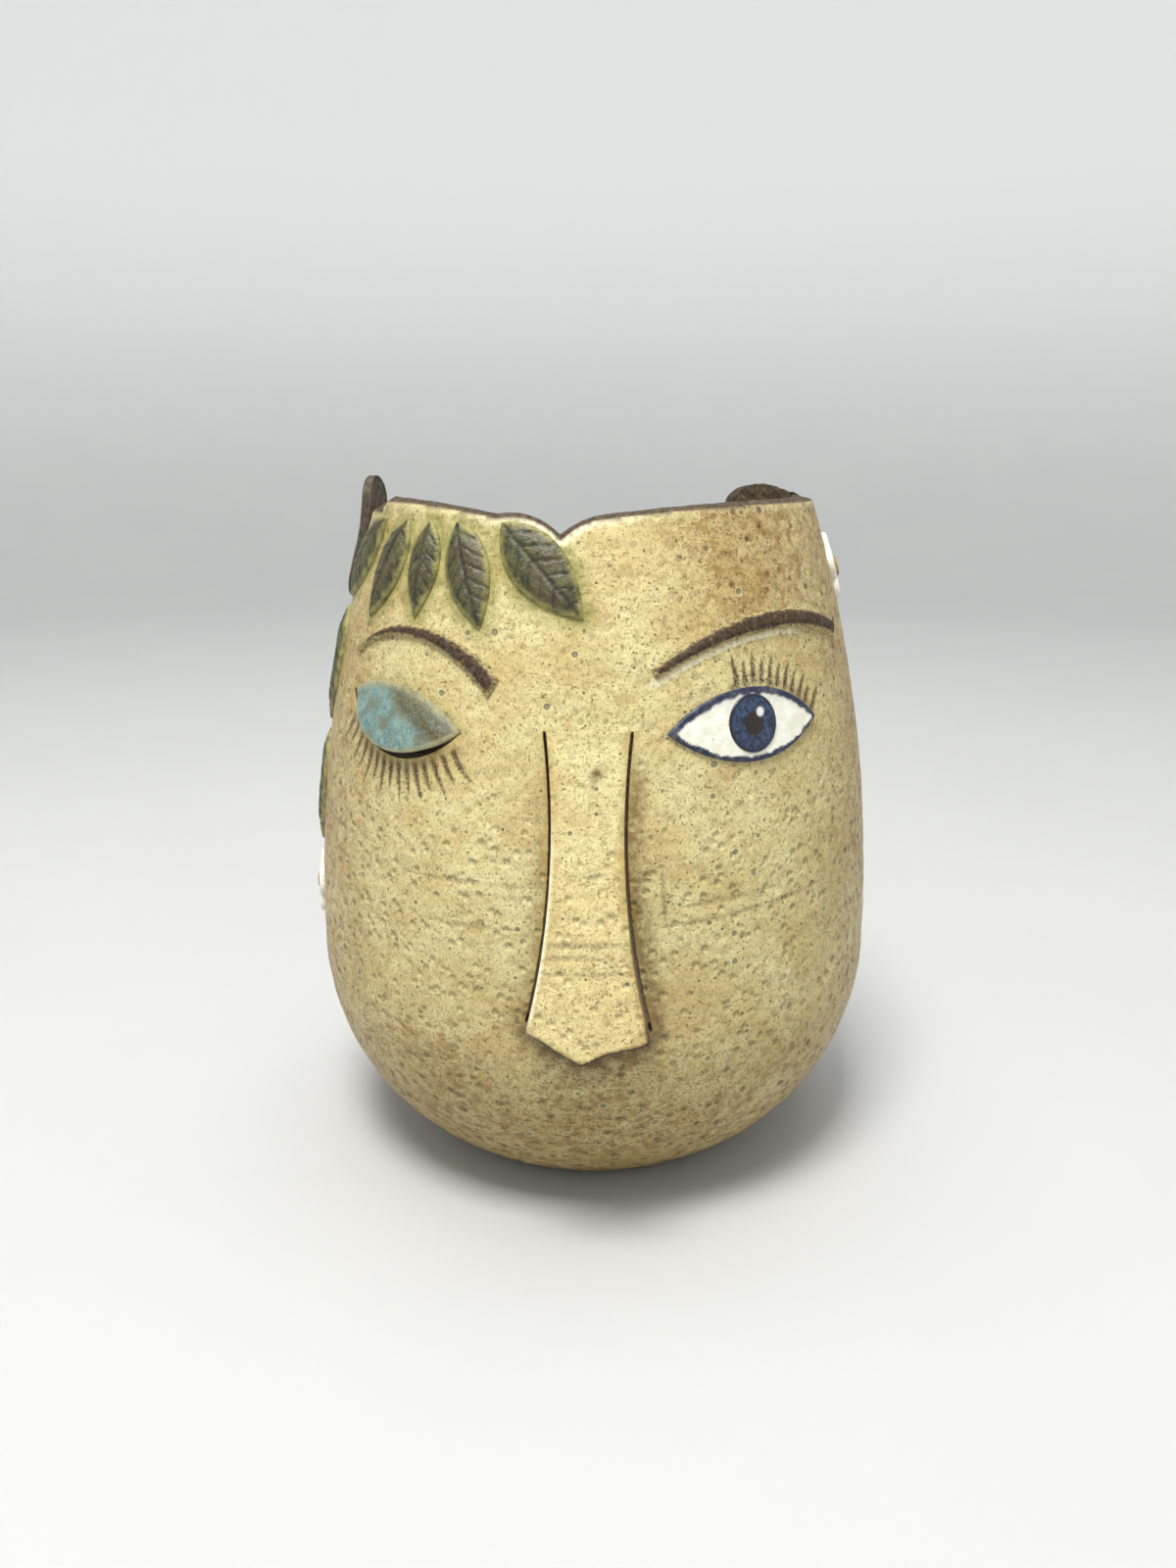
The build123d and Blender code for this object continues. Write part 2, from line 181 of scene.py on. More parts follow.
# Colours of the glaze and the clay
PALE = (0.84, 0.79, 0.55)
BUTTER = (0.82, 0.69, 0.34)
CREAM = (0.69, 0.62, 0.325)
STRAW = (0.575, 0.465, 0.21)
TAN = (0.30, 0.185, 0.06)
BROWN = (0.125, 0.07, 0.026)
IRON = (0.042, 0.025, 0.013)
UMBER = (0.062, 0.037, 0.018)
BARE_CLAY = (0.15, 0.107, 0.065)
DRY_CLAY = (0.26, 0.193, 0.123)
RIM_DARK = (0.038, 0.027, 0.017)
RIM_WORN = (0.14, 0.103, 0.065)
PIT_GREY = (0.185, 0.17, 0.10)
GOLD = (0.44, 0.31, 0.09)
OLIVE = (0.235, 0.225, 0.062)

# Colours of the lid, the brows and the open eye
DEEP_TEAL = (0.082, 0.163, 0.163)
TEAL = (0.215, 0.325, 0.282)
PALE_TEAL = (0.27, 0.34, 0.29)
LID_SMUDGE = (0.125, 0.118, 0.06)
DRIFT_DARK = (0.058, 0.046, 0.018)
DRIFT_PALE = (0.135, 0.118, 0.052)
LID_LIP = (0.47, 0.43, 0.235)
BROW_DARK = (0.022, 0.014, 0.009)
BROW_WORN = (0.105, 0.058, 0.027)
BROW_GREY = (0.105, 0.09, 0.07)
SLIP_CREAM = (0.74, 0.72, 0.60)
SLIP_WHITE = (0.88, 0.865, 0.775)
SLIP_SHADE = (0.22, 0.26, 0.37)
NAVY = (0.012, 0.018, 0.05)
COBALT_DEEP = (0.008, 0.013, 0.030)
COBALT = (0.042, 0.07, 0.14)
COBALT_RING = (0.008, 0.011, 0.028)
PUPIL = (0.02, 0.014, 0.012)
GLINT = (0.74, 0.73, 0.69)

# Colours of the leaves, the buttons, the ear and the floor
LEAF_DARK = (0.026, 0.030, 0.011)
LEAF_GREEN = (0.105, 0.10, 0.032)
LEAF_BROWN = (0.072, 0.052, 0.021)
LEAF_GRIT = (0.17, 0.155, 0.055)
LEAF_EDGE = (0.29, 0.265, 0.08)
LEAF_VEIN = (0.010, 0.010, 0.007)
OCHRE_DARK = (0.24, 0.13, 0.03)
OCHRE = (0.42, 0.25, 0.07)
EAR_DARK = (0.10, 0.08, 0.055)
EAR_GREY = (0.26, 0.22, 0.155)
FLOOR_GREY = (0.50, 0.505, 0.505)
FLOOR_PALE = (0.53, 0.535, 0.53)
BACKDROP_PALE = (0.86, 0.875, 0.87)


# Vessel surface


def arc_of(height):
    """Radius of the profile's arc at each height."""
    return np.where(height > BELLY_HEIGHT, UPPER_ARC, LOWER_ARC)


def radius_at(height, offset=0.0):
    """Radius, at each height, of the surface at an offset outside the vessel."""
    arc = arc_of(height)
    return BELLY_RADIUS - arc + np.sqrt((arc + offset) ** 2 - (height - BELLY_HEIGHT) ** 2)


def climb_at(height):
    """Length along the profile from the foot up to each height."""
    arc = arc_of(height)
    return FOOT_TO_BELLY + arc * np.arcsin(np.clip((height - BELLY_HEIGHT) / arc, -1, 1))


def height_at(climb):
    """Height of each point that lies a length up the profile."""
    rest = climb - FOOT_TO_BELLY
    arc = np.where(rest > 0, UPPER_ARC, LOWER_ARC)
    return BELLY_HEIGHT + arc * np.sin(rest / arc)


def from_arc_centre(points):
    """Distance of each point from the axis, and its run out and rise from the centre of the profile's arc."""
    level = np.hypot(points[:, 0], points[:, 1])
    return level, level - (BELLY_RADIUS - arc_of(points[:, 2])), points[:, 2] - BELLY_HEIGHT


def lift_of(points):
    """Distance of each point outside the vessel's surface."""
    _, out, rise = from_arc_centre(points)
    return np.hypot(out, rise) - arc_of(points[:, 2])


def outward(points):
    """Unit normals of the vessel's surface under each point."""
    level, out, rise = from_arc_centre(points)
    size = np.hypot(out, rise)
    return np.column_stack([points[:, :2] / level[:, None] * out[:, None] / size[:, None], rise / size])


def around(azimuth, radius, height):
    """Points at azimuths, radii and heights."""
    return np.column_stack([radius * np.sin(azimuth), -radius * np.cos(azimuth), height + 0 * azimuth])


def azimuth_of(points):
    """Azimuth of each point."""
    return np.arctan2(points[:, 0], -points[:, 1])


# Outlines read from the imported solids


def welded(node):
    """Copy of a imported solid's mesh whose faces share their corners."""
    mesh = bmesh.new()
    mesh.from_mesh(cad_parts[node].data)
    bmesh.ops.remove_doubles(mesh, verts=mesh.verts, dist=1e-7)
    mesh.verts.index_update()
    mesh.verts.ensure_lookup_table()
    mesh.normal_update()
    return mesh


def chained(mesh, edges):
    """Closed loops of points that some edges of a mesh form."""
    ahead = {}
    for edge in edges:
        first, second = (vertex.index for vertex in edge.verts)
        ahead.setdefault(first, []).append(second)
        ahead.setdefault(second, []).append(first)
    left = set(ahead)
    loops = []
    while left:
        step = min(left)
        loop = []
        while step is not None:
            loop.append(mesh.verts[step].co / MM)
            left.discard(step)
            step = next((other for other in ahead[step] if other in left), None)
        loops.append(np.array(loop))
    return loops


def edges_on_surface(node, offset):
    """Loops of the sharp edges of a solid that lie on the surface at an offset."""
    mesh = welded(node)
    points = np.array([vertex.co for vertex in mesh.verts]) / MM
    near = np.abs(lift_of(points) - offset) < SURFACE_SLACK
    sharp = []
    for edge in mesh.edges:
        if len(edge.link_faces) == 2 and edge.calc_face_angle() > SHARP_TURN:
            if all(near[vertex.index] for vertex in edge.verts):
                sharp.append(edge)
    loops = chained(mesh, sharp)
    mesh.free()
    return loops


class Facing:
    """Upright plane through the axis that looks out at a node: x to the viewer's right, height up."""

    def __init__(self, node):
        low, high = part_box(node)
        middle = (low + high) / 2
        self.azimuth = CUT_AZIMUTHS.get(node, atan2(middle.x, -middle.y))
        self.right = np.array([cos(self.azimuth), sin(self.azimuth), 0])
        self.out = np.array([sin(self.azimuth), -cos(self.azimuth), 0])

    def flat(self, points):
        """Places on the plane of some points."""
        return np.column_stack([points @ self.right, points[:, 2]])

    def point(self, flat, depth):
        """Points that lie at a depth in front of places on the plane."""
        return flat[:, :1] * self.right + depth[:, None] * self.out + flat[:, 1:] * UP

    def on_wall(self, flat, offset=0.0):
        """Points at an offset off the wall in front of places on the plane."""
        base = self.point(flat, np.sqrt(radius_at(flat[:, 1]) ** 2 - flat[:, 0] ** 2))
        return base + outward(base) * np.broadcast_to(offset, len(flat))[:, None]


def outline_of(node, facing):
    """Outline of a solid on its facing plane, from the edges between its front and its sides."""
    mesh = welded(node)
    out = Vector(facing.out)
    edges = []
    for edge in mesh.edges:
        if len(edge.link_faces) == 2:
            side, front = sorted(face.normal.dot(out) for face in edge.link_faces)
            if abs(side) < SIDE_LOOK and front > FRONT_LOOK:
                edges.append(edge)
    loop = max(chained(mesh, edges), key=len)
    mesh.free()
    return facing.flat(loop)


def hull_of(node, facing):
    """Outline of a solid that bulges everywhere, on its facing plane."""
    mesh = welded(node)
    flat = facing.flat(np.array([vertex.co for vertex in mesh.verts]) / MM)
    mesh.free()
    return flat[convex_hull_2d([Vector(place) for place in flat])]


def nose_seam(flat):
    """Which places lie along the root of the nose, where it runs into the wall without an edge."""
    return flat[:, 1] > NOSE_ROOT_HEIGHT - SEAM_SLACK


def lid_seam(flat):
    """Which places lie along the top of the lid, where it runs into the wall without an edge."""
    share = flat[:, 0] / LID_WIDTH + 0.5
    fall = LID_OUTER_FALL + (LID_INNER_FALL - LID_OUTER_FALL) * share
    return flat[:, 1] > LID_TOP_HEIGHT - fall + SEAM_SLACK


# Plane meshes


def resampled(loop, spacing, closed=True):
    """Loop with even steps between its corners, which it keeps."""
    steps = np.roll(loop, -1, axis=0) - loop
    directions = steps / np.maximum(np.linalg.norm(steps, axis=1), TINY)[:, None]
    turns = np.arccos(np.clip((directions * np.roll(directions, 1, axis=0)).sum(axis=1), -1, 1))
    if closed:
        marks = list(np.flatnonzero(turns > CORNER_TURN)) or [0]
        marks.append(marks[0] + len(loop))
    else:
        marks = [0, *(np.flatnonzero(turns[1:-1] > CORNER_TURN) + 1), len(loop) - 1]
    parts = []
    for start, end in zip(marks, marks[1:]):
        run = loop[np.arange(start, end + 1) % len(loop)]
        along = np.concatenate([[0], np.cumsum(np.linalg.norm(np.diff(run, axis=0), axis=1))])
        count = max(2, round(along[-1] / spacing))
        places = np.linspace(0, along[-1], count + 1)[:-1]
        parts.append(np.column_stack([np.interp(places, along, values) for values in run.T]))
    if not closed:
        parts.append(loop[-1:])
    return np.concatenate(parts)


def inside(points, loop):
    """Which points lie within a closed loop."""
    hit = np.zeros(len(points), bool)
    for (x0, y0), (x1, y1) in zip(loop, np.roll(loop, -1, axis=0)):
        if y0 != y1:
            crosses = (y0 > points[:, 1]) != (y1 > points[:, 1])
            hit ^= crosses & (points[:, 0] < (x1 - x0) * (points[:, 1] - y0) / (y1 - y0) + x0)
    return hit


def in_space(points):
    """Points of two or three coordinates, with a third one."""
    return np.column_stack([points, np.zeros(len(points))]) if points.shape[1] == 2 else points


def near_tree(points):
    """Search tree over points."""
    tree = KDTree(len(points))
    for index, point in enumerate(in_space(points)):
        tree.insert(point, index)
    tree.balance()
    return tree


def distances(points, targets):
    """Distance of each point from the nearest target."""
    tree = near_tree(targets)
    return np.array([tree.find(point)[2] for point in in_space(points)])


def staggered(low, high, spacing):
    """Staggered grid of points over a rectangle."""
    rows = np.arange(low[1], high[1], spacing * sqrt(3) / 2)
    columns = np.arange(low[0], high[0], spacing)
    shift = spacing / 2 * (np.arange(len(rows)) % 2)
    x = columns[None, :] + shift[:, None]
    y = np.broadcast_to(rows[:, None], x.shape)
    return np.column_stack([x.ravel(), y.ravel()])


def sideways(along):
    """Unit vectors to the left of some directions on a plane."""
    across = np.column_stack([-along[:, 1], along[:, 0]])
    return across / np.maximum(np.linalg.norm(across, axis=1), TINY)[:, None]


def beside_loop(loop, depth):
    """Points at a depth to both sides of a closed loop."""
    across = sideways(np.roll(loop, -1, axis=0) - np.roll(loop, 1, axis=0))
    return np.concatenate([loop + across * depth, loop - across * depth])


def turned_left(points, loop):
    """Loop of indices in the order that keeps what it encloses on its left."""
    x, y = points[loop].T
    enclosed = x @ np.roll(y, -1) - np.roll(x, -1) @ y
    return [int(index) for index in (loop if enclosed > 0 else loop[::-1])]


def triangulated(points, loops):
    """Triangles over points, within the first loop of indices and outside the others."""
    regions = [turned_left(points, loop) for loop in loops]
    found = delaunay_2d_cdt([Vector(point) for point in points], [], regions, 1, 1e-7, True)
    source = [ids[0] for ids in found[3]]
    kept = [face for face, within in zip(found[2], found[5]) if within == [0]]
    return np.array([[source[corner] for corner in face] for face in kept])


def plane_mesh(loops, spacing, rounding, extra=None):
    """Points and triangles between an outer loop and holes, with fine rows along every edge."""
    dense = np.concatenate([resampled(loop, spacing / 4) for loop in loops])
    outer = loops[0]
    grid = staggered(outer.min(axis=0), outer.max(axis=0), spacing)
    if extra is not None:
        grid = np.concatenate([grid[distances(grid, extra) >= spacing], extra])
    rows = [(loop, depth * rounding) for loop in loops for depth in ROUNDING_ROWS]
    candidates = np.concatenate([beside_loop(loop, depth) for loop, depth in rows] + [grid])
    clear = max(ROUNDING_ROWS) * rounding + spacing / 3
    needed = [np.full(2 * len(loop), depth * ROW_CLEARANCE) for loop, depth in rows]
    needed = np.concatenate(needed + [np.full(len(grid), clear)])
    keep = inside(candidates, outer)
    for hole in loops[1:]:
        keep &= ~inside(candidates, hole)
    keep[keep] = distances(candidates[keep], dense) > needed[keep]
    points = np.concatenate([*loops, candidates[keep]])
    starts = np.cumsum([0] + [len(loop) for loop in loops])
    indices = [np.arange(start, start + len(loop)) for start, loop in zip(starts, loops)]
    return points, triangulated(points, indices), indices


def zipped(points, first, second):
    """Triangles of the strip between two closed loops of indices that run side by side."""

    def gap(one, other):
        return np.linalg.norm(points[one] - points[other])

    second = np.roll(second, -np.linalg.norm(points[second] - points[first[0]], axis=1).argmin())
    ahead = first[len(first) // 8]
    if gap(second[-len(second) // 8], ahead) < gap(second[len(second) // 8], ahead):
        second = np.roll(second[::-1], 1)
    first = np.append(first, first[0])
    second = np.append(second, second[0])
    triangles = []
    a = 0
    b = 0
    while a < len(first) - 1 or b < len(second) - 1:
        step_first = b == len(second) - 1
        if a < len(first) - 1 and not step_first:
            step_first = gap(first[a + 1], second[b]) <= gap(first[a], second[b + 1])
        if step_first:
            triangles.append((first[a], first[a + 1], second[b]))
            a += 1
        else:
            triangles.append((first[a], second[b + 1], second[b]))
            b += 1
    return np.array(triangles)


# Making objects


def add_object(name, data):
    """Object in the scene that shows some data."""
    made = bpy.data.objects.new(name, data)
    bpy.context.scene.collection.objects.link(made)
    return made


def add_piece(name, node, points, faces, material, marks):
    """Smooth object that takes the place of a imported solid, with values on its points for its material."""
    mesh = bpy.data.meshes.new(name)
    mesh.from_pydata((points * MM).tolist(), [], [list(map(int, face)) for face in faces])
    for key, values in marks.items():
        layer = mesh.attributes.new(key, "FLOAT", "POINT")
        layer.data.foreach_set("value", np.asarray(values, np.float32))
    closed = bmesh.new()
    closed.from_mesh(mesh)
    loose = [vertex for vertex in closed.verts if not vertex.link_faces]
    bmesh.ops.delete(closed, geom=loose, context="VERTS")
    bmesh.ops.recalc_face_normals(closed, faces=closed.faces)
    closed.to_mesh(mesh)
    closed.free()
    mesh.shade_smooth()
    mesh.set_sharp_from_angle(angle=CREASE_TURN)
    mesh.materials.append(material)
    piece = add_object(name, mesh)
    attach(piece, "root")
    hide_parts(node)


def smooth(values, low, high):
    """Soft step from 0 at low to 1 at high, which may be the smaller."""
    part = np.clip((values - low) / (high - low), 0, 1)
    return part * part * (3 - 2 * part)


def rounded_off(depth, rounding):
    """Drop of a surface near its edge, as a quarter circle of a radius."""
    return rounding - np.sqrt(rounding**2 - np.clip(rounding - depth, 0, rounding) ** 2)


def uneven(points, size, seed):
    """Smooth noise of a grain size, from 0 to 1, at each point."""
    shift = Vector((seed, 2 * seed, -seed))
    return np.array([0.5 + 0.5 * noise.noise(Vector(point) / size + shift) for point in in_space(points)])


def dimpled(height):
    """How dimpled the clay is at each height, from 0 on the brow to 1 on the belly."""
    return smooth(height, 108, 84)


def hammered(points):
    """Shallow dents and waves that a hand leaves in the clay, as a depth below the true surface."""
    waves = 0.22 * uneven(points, size=17, seed=3.1)
    dents = (0.14 + 0.2 * dimpled(points[:, 2])) * uneven(points, size=4.2, seed=7.7)
    return waves + dents


def sheet(
    node, spacing, rounding, relief, place=Facing.on_wall, under=SUNK, outline=outline_of, seam=None
):
    """Closed mesh over a solid's outline: a front with a relief and rounded edges, and a back."""
    facing = Facing(node)
    loop = resampled(outline(node, facing), spacing)
    flat, triangles, (edge,) = plane_mesh([loop], spacing, rounding)
    fine = resampled(loop, spacing / 4)
    if seam is not None:
        fine = fine[~seam(fine)]
    depth = distances(flat, fine)
    front = place(facing, flat, relief(facing, flat, depth) - rounded_off(depth, rounding))
    back = place(facing, flat, under)
    count = len(flat)
    ahead = np.roll(edge, -1)
    sides = np.column_stack([edge, ahead, ahead + count, edge + count])
    points = np.concatenate([front, back])
    faces = [*triangles, *(triangles[:, ::-1] + count), *sides]
    return points, faces, np.concatenate([flat, flat]), np.concatenate([depth, depth])


# Camera, light and floor


def camera():
    """Camera at the photograph's place."""
    data = bpy.data.cameras.new("camera")
    data.lens = LENS
    data.sensor_width = SENSOR
    seat = add_object("camera", data)
    seat.location = CAMERA_PLACE
    seat.rotation_euler = Euler((CAMERA_TILT, 0, 0))
    bpy.context.scene.camera = seat
    bpy.context.scene.view_settings.view_transform = "Standard"


def area_light(name, place, target, size, power, colour):
    """Square soft light that looks at a target."""
    data = bpy.data.lights.new(name, "AREA")
    data.size = size
    data.energy = power
    data.color = colour
    lamp = add_object(name, data)
    lamp.location = place
    lamp.rotation_euler = (Vector(target) - Vector(place)).to_track_quat("-Z", "Y").to_euler()


def backdrop(material):
    """Pale floor that sweeps up into a wall all round the vase."""
    section = [(BOWL_FLAT / 2, 0.0)]
    for turn in np.linspace(0, pi / 2, BOWL_STEPS):
        section.append((BOWL_FLAT + BOWL_CURVE * sin(turn), BOWL_CURVE * (1 - cos(turn))))
    section.append((BOWL_FLAT + BOWL_CURVE, BOWL_HEIGHT))
    turns = [2 * pi * step / BOWL_TURNS for step in range(BOWL_TURNS)]
    corners = []
    for radius, height in section:
        corners += [(radius * sin(turn), radius * cos(turn), height) for turn in turns]
    faces = [tuple(range(BOWL_TURNS))]
    for row in range(len(section) - 1):
        for step in range(BOWL_TURNS):
            beside = (step + 1) % BOWL_TURNS
            low = row * BOWL_TURNS
            high = low + BOWL_TURNS
            faces.append((low + step, high + step, high + beside, low + beside))
    mesh = bpy.data.meshes.new("floor")
    mesh.from_pydata(corners, [], faces)
    mesh.shade_smooth()
    mesh.materials.append(material)
    floor = add_object("floor", mesh)


def studio():
    """Pale surroundings and soft lights, the strongest from above on the left."""
    world = bpy.data.worlds.new("surroundings")
    world.use_nodes = True
    world.node_tree.nodes["Background"].inputs["Color"].default_value = (1.0, 1.0, 1.0, 1)
    world.node_tree.nodes["Background"].inputs["Strength"].default_value = 0.5
    bpy.context.scene.world = world
    area_light("key_light", (-0.14, -0.42, 1.1), (0, 0, 0.1), size=0.34, power=13.4, colour=(1.0, 0.98, 0.95))
    area_light("ceiling_light", (0, 0, 2.3), (0, 0, 0), size=1.8, power=20.0, colour=(0.98, 0.99, 1.0))
    look = Look("pale_floor", roughness=0.8)
    height = look.node("ShaderNodeSeparateXYZ", {"Vector": look.place()}).outputs["Z"]
    look.colour = look.mix(look.grain(90.0), FLOOR_GREY, FLOOR_PALE)
    look.coat(BACKDROP_PALE, look.step(height, 0.0, BOWL_CURVE / MM))
    backdrop(look.finish())


# Materials


class Look:
    """Node tree of one material, with a short call for each kind of node that the looks use."""

    def __init__(self, name, roughness=0.5, specular=0.5):
        self.material = bpy.data.materials.new(name)
        self.material.use_nodes = True
        self.tree = self.material.node_tree
        self.shader = self.tree.nodes["Principled BSDF"]
        self.shader.inputs["Roughness"].default_value = roughness
        self.shader.inputs["Specular IOR Level"].default_value = specular
        self.colour = None

    def put(self, value, socket):
        """Sets a socket to a number or colour, or links it to another socket."""
        if isinstance(value, bpy.types.NodeSocket):
            self.tree.links.new(value, socket)
        elif socket.type == "RGBA":
            socket.default_value = (*value, 1)
        else:
            socket.default_value = value

    def node(self, kind, inputs, **settings):
        """New node with its settings and inputs."""
        made = self.tree.nodes.new(kind)
        for key, value in settings.items():
            setattr(made, key, value)
        for key, value in inputs.items():
            self.put(value, made.inputs[key])
        return made

    def place(self, stretch=(1, 1, 1)):
        """Place on the object in millimetres, stretched along its axes."""
        seat = self.node("ShaderNodeTexCoord", {}).outputs["Object"]
        scale = tuple(share / MM for share in stretch)
        return self.node("ShaderNodeVectorMath", {0: seat, 1: scale}, operation="MULTIPLY").outputs["Vector"]

    def value(self, name):
        """Value that the mesh carries on its points, or 0 if it has none of that name."""
        return self.node("ShaderNodeAttribute", {}, attribute_name=name).outputs["Fac"]

    def grain(self, size, detail=2.0, rough=0.5, stretch=(1, 1, 1)):
        """Smooth noise of a grain size."""
        inputs = {"Vector": self.place(stretch), "Scale": 1 / size, "Detail": detail, "Roughness": rough}
        return self.node("ShaderNodeTexNoise", inputs).outputs["Fac"]

    def cells(self, size):
        """Distance from the middle of scattered cells, in cell sizes, and a chance value for each cell."""
        made = self.node("ShaderNodeTexVoronoi", {"Vector": self.place(), "Scale": 1 / size})
        chance = self.node("ShaderNodeSeparateColor", {"Color": made.outputs["Color"]}).outputs["Red"]
        return made.outputs["Distance"], chance

    def step(self, value, low, high, to_low=0.0, to_high=1.0):
        """Soft step of a value between two marks."""
        inputs = {"Value": value, "From Min": low, "From Max": high, "To Min": to_low, "To Max": to_high}
        return self.node("ShaderNodeMapRange", inputs, interpolation_type="SMOOTHSTEP").outputs["Result"]

    def maths(self, operation, first, second):
        """Sum, product or other result of two values."""
        return self.node("ShaderNodeMath", {0: first, 1: second}, operation=operation).outputs["Value"]

    def times(self, *values):
        """Product of values."""
        result = values[0]
        for value in values[1:]:
            result = self.maths("MULTIPLY", result, value)
        return result

    def mix(self, share, first, second):
        """Colour between two colours."""
        made = self.node("ShaderNodeMix", {0: share}, data_type="RGBA")
        self.put(first, made.inputs[6])
        self.put(second, made.inputs[7])
        return made.outputs[2]

    def blend(self, value, low, high, first, second):
        """Colour that goes from one colour to another as a value passes two marks."""
        return self.mix(self.step(value, low, high), first, second)

    def coat(self, colour, *shares):
        """Lays a colour over the last one, in the product of some shares."""
        self.colour = self.mix(self.times(*shares), self.colour, colour)

    def mark(self, colour, name, grain, low, high, to_low, to_high):
        """Lays a colour where the mesh carries a value, broken up by a grain."""
        self.coat(colour, self.value(name), self.step(grain, low, high, to_low, to_high))

    def specks(self, size, reach, share):
        """Round specks in a share of scattered cells."""
        distance, chance = self.cells(size)
        return self.times(self.step(distance, reach, reach * 0.55), self.step(chance, share + 0.02, share))

    def finish(self, roughness=None, height=None, depth=0.1):
        """Joins the colour, a roughness and a bump of a depth to the shader."""
        self.put(self.colour, self.shader.inputs["Base Color"])
        if roughness is not None:
            self.put(roughness, self.shader.inputs["Roughness"])
        if height is not None:
            bump = self.node("ShaderNodeBump", {"Height": height, "Distance": depth * MM, "Strength": 1.0})
            self.put(bump.outputs["Normal"], self.shader.inputs["Normal"])
        return self.material


def pits(look):
    """Lays small grey pits with a pale ring in some scattered cells, and tells where the pits are."""
    distance, chance = look.cells(5.6)
    chosen = look.step(chance, 0.40, 0.38)
    reach = look.step(chance, 0.0, 0.4, 0.07, 0.13)
    beyond = look.maths("SUBTRACT", distance, reach)
    pit = look.times(look.step(beyond, 0.02, -0.02), chosen)
    look.coat(CREAM, look.step(beyond, 0.12, 0.02), chosen, 0.45)
    look.coat(PIT_GREY, pit, 0.85)
    return pit


def speckled_glaze():
    """Straw-coloured speckled glaze, browner where it burned and where shade is painted at the sides and the
    bottom, bare and brown inside the vessel.
    """
    look = Look("speckled_glaze", specular=0.22)
    toast_and_shade = look.value("toast_and_shade")
    belly = look.value("dimpled")
    coarse = look.value("coarse")
    peel = look.grain(2.6, 1.0, 0.4)
    grit = look.grain(0.5, 3.0, 0.65)
    flecks = look.grain(1.0, 4.0, 0.75)
    mottle = look.grain(3.0, 5.0, 0.7)
    streaks = look.grain(2.6, 4.0, 0.75, stretch=(1, 1, 2.0))
    look.colour = look.blend(look.grain(15.0, 3.0, 0.6), 0.32, 0.72, CREAM, STRAW)
    # Painted highlight: butter yellow down the lower nose
    look.coat(BUTTER, look.value("painted_highlight"))

    # Burned brown glaze, with painted shade at the sides and towards the bottom
    look.coat(TAN, toast_and_shade, 0.55)
    look.coat(TAN, look.step(mottle, 0.46, 0.64), look.step(toast_and_shade, 0.0, 1.0, 0.32, 0.95))
    look.coat(TAN, look.step(grit, 0.47, 0.62), look.step(toast_and_shade, 0.0, 0.9, 0.5, 0.9))
    scorched = look.times(look.step(streaks, 0.50, 0.66), look.step(toast_and_shade, 0.15, 0.9, 0.0, 0.75))
    look.coat(BROWN, scorched, look.step(belly, 0.0, 1.0, 0.7, 1.0))
    fleck_start = look.step(belly, 0.0, 1.0, 0.565, 0.58)
    look.coat(BROWN, look.step(flecks, fleck_start, 0.66), look.step(toast_and_shade, 0.0, 0.9, 0.75, 0.95))

    dents, fill = look.cells(2.9)
    pooled = look.times(look.step(dents, 0.34, 0.10), look.step(fill, 0.1, 0.9))
    pooled = look.times(pooled, look.step(toast_and_shade, 0.1, 0.9, 0.2, 0.8))
    look.coat(BROWN, pooled, look.step(coarse, 0.0, 1.0, 1.0, 1.5))
    look.coat(BROWN, look.specks(1.5, 0.19, 0.4), look.step(coarse, 0.0, 1.0, 0.6, 0.85))
    look.coat(IRON, look.specks(2.4, 0.15, 0.3), 0.85)
    pit = pits(look)

    # Brown along the nose's slot, part glaze colour and part painted shade, with a painted shadow below the
    # nose's tip
    look.mark(BROWN, "stain_and_shadow", mottle, 0.36, 0.58, 0.35, 0.95)
    look.mark(OLIVE, "halo", mottle, 0.3, 0.65, 0.45, 1.0)
    # Umber lines: lashes and tool marks, and the painted shade right under the nose's tip
    look.mark(UMBER, "line", grit, 0.3, 0.6, 0.5, 1.0)
    look.mark(GOLD, "edge", mottle, 0.3, 0.65, 0.4, 1.0)
    # Pale bevel under the right brow, and painted highlights on the lip by the notch and along the nose's
    # left edge
    look.mark(PALE, "pale", flecks, 0.40, 0.66, 1.0, 0.4)
    bare = look.value("inside")
    look.coat(look.blend(mottle, 0.3, 0.7, BARE_CLAY, DRY_CLAY), bare)
    # Dark rim, and painted shade in the slits, deep inside and along the nose's lower edges
    rim = look.value("rim")
    look.coat(look.blend(flecks, 0.40, 0.66, RIM_DARK, RIM_WORN), rim)

    dry = look.times(look.maths("MAXIMUM", bare, rim), 0.85)
    rough = look.maths("MAXIMUM", look.step(peel, 0.3, 0.7, 0.34, 0.50), dry)
    dented = look.times(look.step(dents, 0.06, 0.40), look.step(belly, 0.0, 1.0, 0.3, 0.95))
    dented = look.times(dented, look.step(coarse, 0.0, 1.0, 1.0, 1.3))
    bumps = look.maths("ADD", look.times(peel, 0.7), dented)
    bumps = look.maths("ADD", bumps, look.times(grit, 0.06))
    return look.finish(rough, look.maths("SUBTRACT", bumps, look.times(pit, 0.5)), 0.6)


